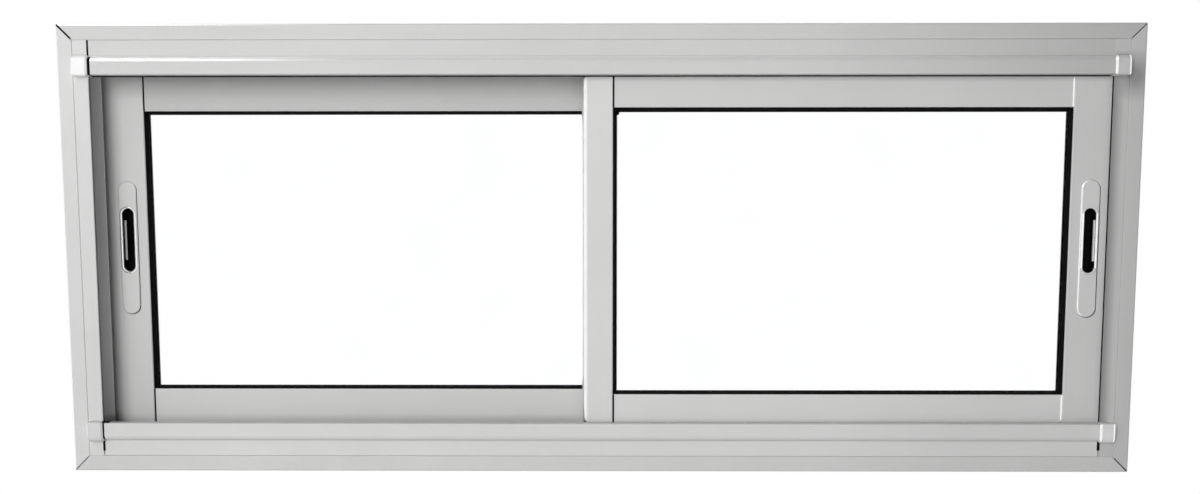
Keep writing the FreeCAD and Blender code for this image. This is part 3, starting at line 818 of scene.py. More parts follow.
def wrapped(
    name: str, low: Triple, high: Triple, radii: tuple[float, float], rounding: float = 0.15 * MM,
) -> bpy.types.Object:
    """Start a strip that goes round a lip: a bar whose front corners are rounded.

    Args:
        name: Name of the strip.
        low: Lowest corner in metres.
        high: Highest corner in metres.
        radii: Radius of the lower and of the upper front corner.
        rounding: Width of the rounding of its other edges.

    Returns:
        The strip.
    """
    strip = bar(name, low, high)
    for level, radius in zip((low[2], high[2]), radii):
        corner = Vector((low[1], level))
        select_edges(strip, lambda *ends: all((end.yz - corner).length < NEAR for end in ends))
        bevel(radius, segments=6)
    soften_edges(strip, rounding)
    return strip


def joined(name: str, pieces: list[bpy.types.Object]) -> bpy.types.Object:
    """Join several meshes into one piece.

    Args:
        name: Name of the piece.
        pieces: Meshes to join.

    Returns:
        The piece.
    """
    take(pieces[0])
    for piece in pieces:
        piece.select_set(True)
    bpy.ops.object.join()
    pieces[0].name = name
    return pieces[0]


def copied(source: bpy.types.Object, move: Matrix) -> bpy.types.Object:
    """Copy a piece with a mesh of its own, moved in the mesh.

    Args:
        source: Piece to copy.
        move: Where the copy goes.

    Returns:
        The copy.
    """
    piece = bpy.data.objects.new(source.name, source.data.copy())
    bpy.context.scene.collection.objects.link(piece)
    piece.data.transform(move)
    return piece


@dataclass
class Assembly:
    """Group of the window's pieces that share its finishes."""

    finishes: Finishes

    def dress(self, piece: bpy.types.Object, material: bpy.types.Material, body: str, slot: str) -> None:
        """Give a new piece its material and its body.

        Args:
            piece: Piece to dress.
            material: Its material.
            body: Body that it moves with.
            slot: The record's slot that its finish belongs to; not used.
        """
        piece.data.materials.clear()
        piece.data.materials.append(material)
        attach(piece, body)
        LOG.info("%s rides on %s", piece.name, body)

    def coat(self, node: str, material: bpy.types.Material) -> None:
        """Give a CAD node, whose shape stays, its material.

        Args:
            node: Name of the node.
            material: Its material.
        """
        piece = frame["nodes"][node]
        piece.data.materials.clear()
        piece.data.materials.append(material)
        LOG.info("%s is coated", node)

    def welded(self, node: str) -> bpy.types.Object:
        """Start a piece from a copy of a CAD node, with its triangles welded into whole flats.

        Args:
            node: Name of the node.

        Returns:
            The piece.
        """
        piece = copied(frame["nodes"][node], Matrix.Identity(4))
        piece.name = node + "_finished"
        take(piece)
        bpy.ops.object.mode_set(mode="EDIT")
        bpy.ops.mesh.select_all(action="SELECT")
        bpy.ops.mesh.remove_doubles(threshold=0.002 * MM)
        bpy.ops.mesh.dissolve_limited(angle_limit=math.radians(0.5))
        bpy.ops.object.mode_set(mode="OBJECT")
        return piece

    def stand_for(self, node: str, piece: bpy.types.Object, material: bpy.types.Material) -> None:
        """Dress a piece and let it stand for a CAD node.

        Args:
            node: Name of the node.
            piece: Piece that stands for it.
            material: Its material.
        """
        record = frame["record"]
        body = next(name for name, nodes in record["behaviour"]["bodies"].items() if node in nodes)
        slot = next(row["material_slot"] for row in record["subparts"] if row["node"] == node)
        self.dress(piece, material, body, slot)
        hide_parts(node)

    def soften(
        self, node: str, material: bpy.types.Material, width: float = 0.3 * MM, segments: int = 2,
        angle: float = 42.0,
    ) -> bpy.types.Object:
        """Model a CAD node again with softened edges.

        Args:
            node: Name of the node.
            material: Its material.
            width: Width of the rounding in metres.
            segments: Facets across each rounding.
            angle: Sharpest angle, in degrees, that stays as it is.

        Returns:
            The piece that stands for the node.
        """
        piece = self.welded(node)
        soften_edges(piece, width, segments, angle)
        self.stand_for(node, piece, material)
        return piece

    @staticmethod
    def refinish(piece: bpy.types.Object, material: bpy.types.Material, test: FaceTest) -> None:
        """Give some faces of a dressed piece another material.

        Args:
            piece: Piece that is dressed already.
            material: Material of the faces.
            test: Says of a face whether it gets it.
        """
        piece.data.materials.append(material)
        for face in piece.data.polygons:
            if test(face):
                face.material_index = len(piece.data.materials) - 1


@dataclass
class PanScrew:
    """Small pan-head screw with a cross recess, its head towards +X."""

    radius: float = 3.3 * MM
    height: float = 1.9 * MM
    recess_length: float = 3.4 * MM
    recess_width: float = 0.8 * MM
    recess_depth: float = 1.1 * MM
    crown: float = 0.55

    def model(self) -> bpy.types.Object:
        """Model the head at the origin.

        Returns:
            The head, its seat on the plane X = 0.
        """
        deselect()
        bpy.ops.mesh.primitive_cylinder_add(
            vertices=24, radius=self.radius, depth=self.height, location=(self.height / 2, 0, 0),
            rotation=(0, math.pi / 2, 0),
        )
        head = bpy.context.object
        head.name = "pan_screw"
        bpy.ops.object.transform_apply(location=True, rotation=True, scale=True)
        select(head, "FACE", lambda face: face.normal.x > 0.9)
        bevel(self.crown * self.height, segments=4)
        floor = self.height - self.recess_depth
        long, short = self.recess_length / 2, self.recess_width / 2
        for half_y, half_z in ((long, short), (short, long)):
            low = (floor, -half_y, -half_z)
            cut(head, bar("recess", low, (2 * self.height, half_y, half_z)))
        shade(head, angle=35.0)
        return head


@dataclass
class OuterFrame(Assembly):
    """Fixed frame: mitred trim, jambs, tracks, lips, fins, keepers and end caps."""

    rounding: float = 0.3 * MM
    keeper_rounding: float = 0.25 * MM
    cap_rounding: float = 0.5 * MM
    cap_chamfer: float = 1.9 * MM
    cap_radii: tuple[float, float] = (2.5 * MM, 7.0 * MM)
    rim_width: float = 1.4 * MM
    rim_proud: float = 0.15 * MM

    def build_trim(self) -> None:
        """Model the four trims: painted highlights at the upper left, painted light on the left, painted shade and
        shadow on the right.
        """
        self.soften("sill_trim", self.finishes.across, self.rounding)
        self.soften("right_trim", self.finishes.dulled, self.rounding)
        head = self.soften("head_trim", self.finishes.head, self.rounding)
        self.refinish(head, self.finishes.buffed_top, turned_out((0.0, 0.0, 1.0)))
        left = self.soften("left_trim", self.finishes.fresh_upright, self.rounding)
        self.refinish(left, self.finishes.buffed_left, turned_out((-1.0, 0.0, 0.0)))

    def build_tracks(self) -> None:
        """Model the head and the sill: floors, lips and fins, with painted shade to the head's right, a painted
        highlight on its lip at the left, and painted light on the sill's lip.
        """
        for level in Level:
            coat = self.finishes.head if level is Level.HEAD else self.finishes.across
            for piece in ("_track", "_fins"):
                self.soften(level.word + piece, coat, self.rounding)
        self.soften("sill_lip", self.finishes.fresh_across, self.rounding)
        lip = self.soften("head_lip", self.finishes.head, self.rounding)
        self.refinish(lip, self.finishes.buffed_top, turned_out((0.0, 0.0, 1.0)))

    def build_jambs(self) -> None:
        """Model the jambs and their keepers: painted light on the left jamb with painted shade deep in its pockets,
        painted shade and shadow on the right jamb.
        """
        left = self.soften("left_jamb", self.finishes.fresh_upright, self.rounding)
        self.refinish(left, self.finishes.pocket, lambda face: face.normal.x > 0.9)
        self.soften("right_jamb", self.finishes.soiled, self.rounding)
        self.soften("keepers", self.finishes.steel, self.keeper_rounding)

    def build_caps(self) -> None:
        """Model the caps over the ends of the lips, with painted highlights of bright metal on their left and at the
        right ones' ends.
        """
        highlight_rims = []
        for level in Level:
            for side in Side:
                node = f"{level.word}_{side.word}_cap"
                cap = self.soften(node, self.finishes.caps[level, side], self.cap_rounding, segments=3, angle=25.0)
                self.refinish(cap, self.finishes.rim, lambda face: face.normal.y < 0.3 and face.normal.x < -0.06)
            low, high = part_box(level.word + "_right_cap")
            edge = high.x - self.cap_chamfer
            radii = self.cap_radii if level is Level.HEAD else self.cap_radii[::-1]
            highlight_rims.append(wrapped(
                "rim", (edge - self.rim_width, low.y - self.rim_proud, low.z - self.rim_proud),
                (edge, high.y, high.z + self.rim_proud), radii,
            ))
        self.dress(joined("cap_rims", highlight_rims), self.finishes.rim, "frame", "cap_plastic")

    def build(self) -> None:
        """Build the frame."""
        self.build_trim()
        self.build_tracks()
        self.build_jambs()
        self.build_caps()


@dataclass
class WeatherStrips(Assembly):
    """Brush pile between the frame and the sashes, and the sealant in the frame's joints."""

    clearance: float = 0.4 * MM
    width: float = 4.0 * MM
    tip_rounding: float = 1.2 * MM
    tuft_pitch: float = 6.0 * MM
    unevenness: float = 0.18 * MM
    head_hang: float = 0.75 * MM
    sill_tuck: float = 0.9 * MM
    jamb_tuck: float = 0.6 * MM
    end_gap: float = 2.0 * MM
    fin_end_gap: float = 20.0 * MM
    seal_tuck: float = 0.3 * MM
    seal_recess: float = 0.15 * MM
    seal_proud: float = 0.1 * MM
    seal_rounding: float = 0.2 * MM
    lip_rounding: float = 7.0 * MM
    cap_rim: float = 1.3 * MM
    end_seals: tuple[tuple[Level, Side, float, float], ...] = (
        (Level.HEAD, Side.LEFT, 0.6 * MM, 0.0),
        (Level.SILL, Side.LEFT, 0.9 * MM, 5.0 * MM),
        (Level.SILL, Side.RIGHT, 1.2 * MM, 7.0 * MM),
    )
    cap_seals: tuple[tuple[Level, float], ...] = ((Level.HEAD, 2.8 * MM), (Level.SILL, 1.6 * MM))
    dab_reach: tuple[float, float] = (3.0 * MM, 5.5 * MM)
    dab_height: float = 1.3 * MM
    dab_setback: float = 2.0 * MM
    dab_rounding: float = 0.4 * MM
    mitres: tuple[tuple[Level, Side, float], ...] = (
        (Level.HEAD, Side.LEFT, 2.0 * MM),
        (Level.HEAD, Side.RIGHT, 1.0 * MM),
        (Level.SILL, Side.LEFT, 0.7 * MM),
        (Level.SILL, Side.RIGHT, 1.35 * MM),
    )
    mitre_start: float = 1.6 * MM
    mitre_end: float = 1.0 * MM
    mitre_depth: float = 1.2 * MM
    mitre_proud: float = 0.05 * MM
    mitre_rounding: float = 0.1 * MM

    def build_strip(self, name: str, low: Triple, high: Triple, tip: float) -> None:
        """Model one strip of pile.

        Args:
            name: Name of the strip.
            low: Lowest corner in metres.
            high: Highest corner in metres.
            tip: Y of the fibres' tips.
        """
        strip = bar(name, low, high)
        spans = [last - first for first, last in zip(low, high)]
        along = spans.index(max(spans))

        def ends_tips(first: Vector, last: Vector) -> bool:
            """Whether an edge is at an end of the side with the tips."""
            return abs(first[along] - last[along]) < NEAR and max(abs(first.y - tip), abs(last.y - tip)) < NEAR

        select_edges(strip, ends_tips)
        bevel(self.tip_rounding, segments=2)
        select_edges(strip, lambda first, last: abs(first[along] - last[along]) > NEAR)
        bpy.ops.mesh.subdivide(number_cuts=int(spans[along] / self.tuft_pitch))
        bpy.ops.mesh.select_all(action="SELECT")
        bpy.ops.transform.vertex_random(offset=self.unevenness, uniform=0.0, normal=0.0, seed=7)
        bpy.ops.object.mode_set(mode="OBJECT")
        shade(strip, angle=60.0)
        self.dress(strip, self.finishes.pile, "frame", "black_gasket")

    def build_lip_strips(self) -> None:
        """Lay pile behind the lips of the head and the sill, against the front sash."""
        sash_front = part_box("right_lock_stile")[0].y
        for level in Level:
            lip_low, lip_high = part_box(level.word + "_lip")
            edge = lip_low.z - self.head_hang if level is Level.HEAD else lip_high.z - self.sill_tuck
            back = edge + level.value * self.width
            low = (lip_low.x + self.end_gap, lip_high.y, min(edge, back))
            high = (lip_high.x - self.end_gap, sash_front - self.clearance, max(edge, back))
            self.build_strip(level.word + "_pile", low, high, high[1])

    def build_fin_strips(self) -> None:
        """Lay pile inside the rear fins of the head and the sill, against the rear sash."""
        sash_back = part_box("left_lock_stile")[1].y
        fin_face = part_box("sill_track")[1].y
        tip = sash_back + self.clearance
        for level in Level:
            fin_low, fin_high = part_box(level.word + "_fins")
            edge = fin_low.z + self.end_gap if level is Level.HEAD else fin_high.z - self.end_gap
            back = edge + level.value * self.width
            low = (fin_low.x + self.fin_end_gap, tip, min(edge, back))
            high = (fin_high.x - self.fin_end_gap, fin_face, max(edge, back))
            self.build_strip(level.word + "_rear_pile", low, high, tip)

    def build_jamb_strips(self) -> None:
        """Lay pile along the jambs, where each sash closes."""
        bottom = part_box("sill_lip")[1].z
        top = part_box("head_lip")[0].z
        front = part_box("head_lip")[1].y
        right_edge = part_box("right_jamb")[0].x + self.jamb_tuck
        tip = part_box("right_lock_stile")[0].y - self.clearance
        low = (right_edge, front, bottom - self.width)
        high = (right_edge + self.width, tip, top + self.width)
        self.build_strip("right_jamb_pile", low, high, tip)
        left_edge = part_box("left_jamb")[1].x - self.jamb_tuck
        fin_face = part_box("sill_track")[1].y
        rear_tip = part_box("left_lock_stile")[1].y + self.clearance
        low = (left_edge - self.width, rear_tip, bottom)
        high = (left_edge, fin_face, top)
        self.build_strip("left_jamb_pile", low, high, rear_tip)

    def end_seal(self, level: Level, side: Side, lap: float, short: float) -> bpy.types.Object:
        """Model a seal in the joint between an end of a lip and the jamb.

        Args:
            level: Level of the lip.
            side: Side of the joint.
            lap: How far it laps over the edges of the joint.
            short: How far it stops short of the trim.

        Returns:
            The seal.
        """
        lip_low, lip_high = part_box(level.word + "_lip")
        jamb_low, jamb_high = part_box(side.word + "_jamb")
        jamb_edge, lip_end = (jamb_high.x, lip_low.x) if side is Side.LEFT else (jamb_low.x, lip_high.x)
        front = jamb_low.y - self.seal_proud if lap > 0 else jamb_low.y + self.seal_recess
        below = short if level is Level.SILL else 0.0
        above = short if level is Level.HEAD else 0.0
        low = (min(jamb_edge, lip_end) - lap, front, lip_low.z + self.seal_recess + below)
        high = (max(jamb_edge, lip_end) + lap, lip_high.y, lip_high.z - self.seal_recess - above)
        return bar(f"{level.word}_{side.word}_seal", low, high, self.seal_rounding)

    def build_end_seals(self) -> None:
        """Seal the ends of the lips: black rubber, and at the head's right end a filler in the frame's colour."""
        black = [self.end_seal(*place) for place in self.end_seals]
        self.dress(joined("lip_end_seals", black), self.finishes.rubber, "frame", "black_gasket")
        filler = self.end_seal(Level.HEAD, Side.RIGHT, 0.0, 0.0)
        self.dress(filler, self.finishes.upright, "frame", "frame_coat")

    def build_cap_seals(self) -> None:
        """Lay black strips round the lips along the inner edges of the left caps, and a dab on the sill's lip, as
        painted shade.
        """
        shade_strips = []
        for level, width in self.cap_seals:
            cap_low, cap_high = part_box(level.word + "_left_cap")
            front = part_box(level.word + "_lip")[0].y - self.seal_proud
            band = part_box("left_jamb")[0].y
            low = (cap_high.x - self.seal_tuck, front, cap_low.z + self.cap_rim)
            high = (cap_high.x + width, band, cap_high.z - self.cap_rim)
            radii = (self.cap_rim, self.lip_rounding)
            shade_strips.append(wrapped("seal", low, high, radii if level is Level.HEAD else radii[::-1]))
        cap_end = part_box("sill_left_cap")[1]
        before, past = self.dab_reach
        low = (cap_end.x - before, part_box("sill_lip")[0].y + self.dab_setback, cap_end.z - self.cap_rim)
        high = (cap_end.x + past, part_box("left_jamb")[0].y, low[2] + self.dab_height)
        shade_strips.append(bar("dab", low, high, self.dab_rounding))
        self.dress(joined("cap_seals", shade_strips), self.finishes.rubber, "frame", "black_gasket")

    def build_mitre_seals(self) -> None:
        """Fill the mitres of the trim with black sealant."""
        head_low, head_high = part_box("head_trim")
        sill_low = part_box("sill_trim")[0]
        width = head_high.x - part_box("right_trim")[0].x
        half = width / math.sqrt(2)
        front = head_low.y - self.mitre_proud
        strips = []
        for level, side, wide in self.mitres:
            edge = head_high.z if level is Level.HEAD else sill_low.z
            place = (side.value * (head_high.x - width / 2), 0.0, edge - level.value * width / 2)
            turn = Matrix.Rotation(-side.value * level.value * math.pi / 4, 4, "Y")
            ends = sorted((side.value * (half - self.mitre_start), -side.value * (half - self.mitre_end)))
            low, high = (ends[0], front, -wide / 2), (ends[1], front + self.mitre_depth, wide / 2)
            strip = bar("sealant", low, high, self.mitre_rounding)
            strip.data.transform(Matrix.Translation(place) @ turn)
            strips.append(strip)
        self.dress(joined("mitre_sealant", strips), self.finishes.rubber, "frame", "black_gasket")

    def build(self) -> None:
        """Build every strip and seal."""
        self.build_lip_strips()
        self.build_fin_strips()
        self.build_jamb_strips()
        self.build_end_seals()
        self.build_cap_seals()
        self.build_mitre_seals()


@dataclass
class FrameScrews(Assembly):
    """Screws that hold the jambs to the tracks, and the keepers to the jambs."""

    corner_rise: float = 9.0 * MM
    corner_depths: tuple[float, float] = (16.6 * MM, 58.6 * MM)
    keeper_rise: float = 26.0 * MM
    keeper_thickness: float = 1.4 * MM

    def build(self) -> None:
        """Model one screw and set its copies."""
        screw = PanScrew().model()
        corners = []
        keepers = []
        for side in Side:
            low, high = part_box(side.word + "_jamb")
            web = low.x if side is Side.LEFT else high.x
            for z in (low.z + self.corner_rise, high.z - self.corner_rise):
                for y in self.corner_depths:
                    corners.append(copied(screw, Matrix.Translation((web, y, z)) @ facing(side.value)))
            stile_low, stile_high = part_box(side.word + "_lock_stile")
            keeper_low, keeper_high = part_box("keepers")
            face = web - side.value * (abs(web) - keeper_high.x) - side.value * self.keeper_thickness
            y = (stile_low.y + stile_high.y) / 2
            middle = (keeper_low.z + keeper_high.z) / 2
            for z in (middle - self.keeper_rise, middle + self.keeper_rise):
                keepers.append(copied(screw, Matrix.Translation((face, y, z)) @ facing(-side.value)))
        bpy.data.objects.remove(screw, do_unlink=True)
        self.dress(joined("corner_screws", corners), self.finishes.steel, "frame", "plated_steel")
        self.dress(joined("keeper_screws", keepers), self.finishes.steel, "frame", "plated_steel")


@dataclass
class SashAssembly(Assembly):
    """Group of pieces that slide with the sash of one side."""

    side: Side

    def node(self, piece: str) -> str:
        """Name of a piece on this sash, as the CAD nodes spell it."""
        return f"{self.side.word}_{piece}"

    @property
    def body(self) -> str:
        """Name of this sash's body."""
        return self.node("sash")


@dataclass
class Sash(SashAssembly):
    """Sliding sash: stiles, rails, interlock, glazing, rollers and the fittings of its edge."""

    rounding: float = 0.25 * MM
    latch_width: float = 14.0 * MM
    latch_height: float = 96.0 * MM
    latch_thickness: float = 0.8 * MM
    latch_corner: float = 3.5 * MM
    latch_rounding: float = 0.15 * MM
    latch_slot: tuple[float, float] = (5.0 * MM, 32.0 * MM)
    latch_screw_rise: float = 36.48 * MM
    screw_rise: float = 40.0 * MM
    gasket_rounding: float = 0.3 * MM
    mitre_weld: float = 0.35 * MM
    joint_gap: float = 0.9 * MM
    joint_lap: float = 0.8 * MM
    joint_proud: float = 0.3 * MM
    joint_rounding: float = 0.12 * MM

    def build_metal(self) -> None:
        """Model the stiles, the rails and the interlock, with painted shade and shadow on the left sash, painted
        light and highlights elsewhere.
        """
        self.soften(self.node("interlock"), self.finishes.upright, self.rounding)
        lock = self.soften(self.node("lock_stile"), self.finishes.upright, self.rounding)
        # Painted shadow of the jamb on the left lock stile's front
        if self.side is Side.LEFT:
            self.refinish(lock, self.finishes.closing_edge, lambda face: face.normal.y < -0.5)
        # Painted shade on the left sash's top rail, under the head's lip
        top = self.finishes.dulled_across if self.side is Side.LEFT else self.finishes.across
        self.soften(self.node("top_rail"), top, self.rounding)
        # Painted light on the bottom rails and the meeting stiles, and a painted highlight on the noses
        self.soften(self.node("bottom_rail"), self.finishes.fresh_across, self.rounding)
        stile = self.soften(self.node("meeting_stile"), self.finishes.fresh_upright, self.rounding)
        way = self.side.value
        self.refinish(
            stile, self.finishes.noses[self.side],
            lambda face: way * face.normal.x < -0.03 and way * face.normal.y < -0.05,
        )

    def joint_strip(self, end: float, way: int, low: Vector, high: Vector, front: bool) -> bpy.types.Object:
        """Model a strip in the joint between an end of a rail and a stile.

        Args:
            end: X of the rail's end.
            way: Sign of X from the rail to the stile.
            low: Lowest corner of the rail.
            high: Highest corner of the rail.
            front: Whether it is on the front of the sash.

        Returns:
            The strip.
        """
        across = sorted((end + way * self.joint_gap, end - way * self.joint_lap))
        face, out = (low.y, -1) if front else (high.y, 1)
        depth = sorted((face + out * self.joint_proud, face - out * self.joint_lap))
        bottom, top = low.z + self.rounding, high.z - self.rounding
        return bar("strip", (across[0], depth[0], bottom), (across[1], depth[1], top), self.joint_rounding)

    def build_joints(self) -> None:
        """Fill the joints of the rails: sealant, and in front at the right sash's lock stile a bright strip as a
        painted highlight.
        """
        sealant = []
        bright = []
        for piece in ("top_rail", "bottom_rail"):
            low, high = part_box(self.node(piece))
            for front in (True, False):
                for end, way in ((low.x, -1), (high.x, 1)):
                    at_lock = way == self.side.value
                    # Painted highlight: bright strips in the front joints at the right sash's lock stile
                    shown = bright if at_lock and front and self.side is Side.RIGHT else sealant
                    shown.append(self.joint_strip(end, way, low, high, front))
        self.dress(joined(self.node("joint_sealant"), sealant), self.finishes.rubber, self.body, "black_gasket")
        if bright:
            self.dress(joined(self.node("joint_strips"), bright), self.finishes.rim, self.body, "frame_coat")

    def build_gaskets(self) -> None:
        """Model each gasket as one strip, closed at its corners."""
        for piece in ("front_gasket", "back_gasket"):
            gasket = self.welded(self.node(piece))
            select(gasket, "FACE", lambda face: min(abs(face.normal.x), abs(face.normal.z)) > 0.6)
            bpy.ops.mesh.delete(type="FACE")
            bpy.ops.mesh.select_all(action="SELECT")
            bpy.ops.mesh.remove_doubles(threshold=self.mitre_weld)
            bpy.ops.mesh.normals_make_consistent(inside=False)
            bpy.ops.object.mode_set(mode="OBJECT")
            soften_edges(gasket, self.gasket_rounding, angle=25.0)
            self.stand_for(self.node(piece), gasket, self.finishes.rubber)

    def coat_inner_pieces(self) -> None:
        """Coat the glass, the rollers and the guide blocks."""
        self.coat(self.node("glass"), self.finishes.glass)
        self.coat(self.node("roller_housings"), self.finishes.steel)
        self.coat(self.node("roller_wheels"), self.finishes.nylon)
        self.coat(self.node("guide_blocks"), self.finishes.nylon)

    def latch_plate(self, edge: float, depth: float, level: float) -> bpy.types.Object:
        """Model the latch's face plate.

        Args:
            edge: X of the stile's edge.
            depth: Y of the plate's middle.
            level: Z of the plate's middle.

        Returns:
            The plate.
        """
        across = sorted((edge, edge + self.side.value * self.latch_thickness))
        half_width, half_height = self.latch_width / 2, self.latch_height / 2
        plate = bar(
            self.node("latch_plate"), (across[0], depth - half_width, level - half_height),
            (across[1], depth + half_width, level + half_height),
        )
        select_edges(plate, lambda first, last: abs(first.x - last.x) > NEAR)
        bevel(self.latch_corner, segments=5)
        slot_width, slot_height = self.latch_slot
        slot = bar(
            "slot", (edge - MM, depth - slot_width / 2, level - slot_height / 2),
            (edge + MM, depth + slot_width / 2, level + slot_height / 2),
        )
        cut(plate, slot)
        soften_edges(plate, self.latch_rounding)
        return plate

    def build_latch(self) -> None:
        """Set the latch's face plate on the edge of the lock stile, with its screws and those of the rails."""
        low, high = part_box(self.node("lock_stile"))
        edge = low.x if self.side is Side.LEFT else high.x
        depth = (low.y + high.y) / 2
        keeper_low, keeper_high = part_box("keepers")
        level = (keeper_low.z + keeper_high.z) / 2
        plate = self.latch_plate(edge, depth, level)
        self.dress(plate, self.finishes.steel, self.body, "plated_steel")
        face = edge + self.side.value * self.latch_thickness
        places = [(face, level + way * self.latch_screw_rise) for way in (-1, 1)]
        places += [(edge, z) for z in (low.z + self.screw_rise, high.z - self.screw_rise)]
        screw = PanScrew(radius=2.6 * MM, height=1.3 * MM, recess_depth=0.8 * MM, recess_length=2.8 * MM).model()
        screws = [copied(screw, Matrix.Translation((x, depth, z)) @ facing(self.side.value)) for x, z in places]
        bpy.data.objects.remove(screw, do_unlink=True)
        self.dress(joined(self.node("edge_screws"), screws), self.finishes.steel, self.body, "plated_steel")

    def build(self) -> None:
        """Build the sash."""
        self.build_metal()
        self.build_joints()
        self.build_gaskets()
        self.coat_inner_pieces()
        self.build_latch()


@dataclass
class FlushPull(SashAssembly):
    """Flush pull on a lock stile: plate over a thin black strip as its painted shadow, bead of painted highlight
    round its slot, cup and latch lever.
    """

    rounding: float = 0.3 * MM
    cup_wall: float = 1.5 * MM
    bead_width: float = 3.0 * MM
    bead_depth: float = 2.8 * MM
    bead_proud: float = 1.2 * MM
    bead_rounding: float = 1.35 * MM
    gasket_thickness: float = 0.5 * MM
    gasket_drop: float = 0.6 * MM
    gasket_rounding: float = 0.1 * MM
    lever_rounding: float = 0.2 * MM

    @staticmethod
    def obround(name: str, width: float, height: float, depth: float, fill: str) -> bpy.types.Object:
        """Start a piece from an upright tube or plate with round ends, at the origin.

        Args:
            name: Name of the piece.
            width: Its width along X.
            height: Its height along Z.
            depth: Its depth along Y.
            fill: NGON for a plate, NOTHING for a tube.

        Returns:
            The piece.
        """
        deselect()
        bpy.ops.mesh.primitive_cylinder_add(
            vertices=40, radius=width / 2, depth=depth, end_fill_type=fill, rotation=(math.pi / 2, 0, 0),
        )
        piece = bpy.context.object
        piece.name = name
        bpy.ops.object.transform_apply(location=True, rotation=True, scale=True)
        for way in (1, -1):
            select_edges(piece, lambda first, last: min(way * first.z, way * last.z) > NEAR)
            bpy.ops.transform.translate(value=(0, 0, way * (height - width) / 2))
            bpy.ops.object.mode_set(mode="OBJECT")
        return piece

    def slot(self) -> tuple[Vector, Vector]:
        """Return the centre of the plate's slot, which is the hollow of the cup, and its size along each axis."""
        low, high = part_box(self.node("pull_cup"))
        return (low + high) / 2, high - low - Vector((2 * self.cup_wall, 0, 2 * self.cup_wall))

    def build_plate(self) -> None:
        """Model the plate, with a painted highlight of bright metal on its left edge on the right sash."""
        plate = self.soften(self.node("pull_plate"), self.finishes.pull, self.rounding, segments=3, angle=25.0)
        if self.side is Side.RIGHT:
            self.refinish(plate, self.finishes.rim, lambda face: face.normal.x < -0.2 and face.normal.y < -0.1)

    def build_gasket(self) -> None:
        """Model a thin black strip under the plate, offset to show along its right and lower edge as its painted
        shadow.
        """
        low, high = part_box(self.node("pull_plate"))
        middle = (low + high) / 2
        gasket = self.obround(
            self.node("pull_gasket"), high.x - low.x, high.z - low.z, self.gasket_thickness, "NGON",
        )
        back = high.y - self.gasket_thickness / 2
        # Offset to the right and down, where the plate's shadow falls
        gasket.data.transform(Matrix.Translation((middle.x + self.gasket_drop, back, middle.z - self.gasket_drop)))
        centre, size = self.slot()
        hole = self.obround("hole", size.x, size.z, 4 * self.gasket_thickness, "NGON")
        hole.data.transform(Matrix.Translation((centre.x, back, centre.z)))
        cut(gasket, hole)
        soften_edges(gasket, self.gasket_rounding)
        self.dress(gasket, self.finishes.rubber, self.body, "black_gasket")

    def build_bead(self) -> None:
        """Model the bead round the slot: bright metal as a painted highlight, except for the right one's round ends.
        """
        centre, size = self.slot()
        bead = self.obround(self.node("slot_bead"), size.x, size.z, self.bead_depth, "NOTHING")
        apply_modifier(bead, "SOLIDIFY", thickness=self.bead_width, offset=1.0)
        soften_edges(bead, self.bead_rounding, segments=5)
        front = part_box(self.node("pull_plate"))[0].y - self.bead_proud + self.bead_depth / 2
        bead.data.transform(Matrix.Translation((centre.x, front, centre.z)))
        self.dress(bead, self.finishes.rim, self.body, "pull_coat")
        if self.side is Side.RIGHT:
            straight = (size.z - size.x) / 2
            self.refinish(bead, self.finishes.pull, lambda face: abs(face.center.z - centre.z) > straight)

    def build(self) -> None:
        """Build the pull, with the left lever's right side painted black as shade."""
        self.build_plate()
        self.build_gasket()
        self.build_bead()
        self.soften(self.node("pull_cup"), self.finishes.cup, self.rounding)
        lever = self.soften(self.node("pull_lever"), self.finishes.levers[self.side], self.lever_rounding)
        # Painted shade: the left lever's right-facing side takes the black cup material
        if self.side is Side.LEFT:
            self.refinish(lever, self.finishes.cup, lambda face: face.normal.x > 0.3)


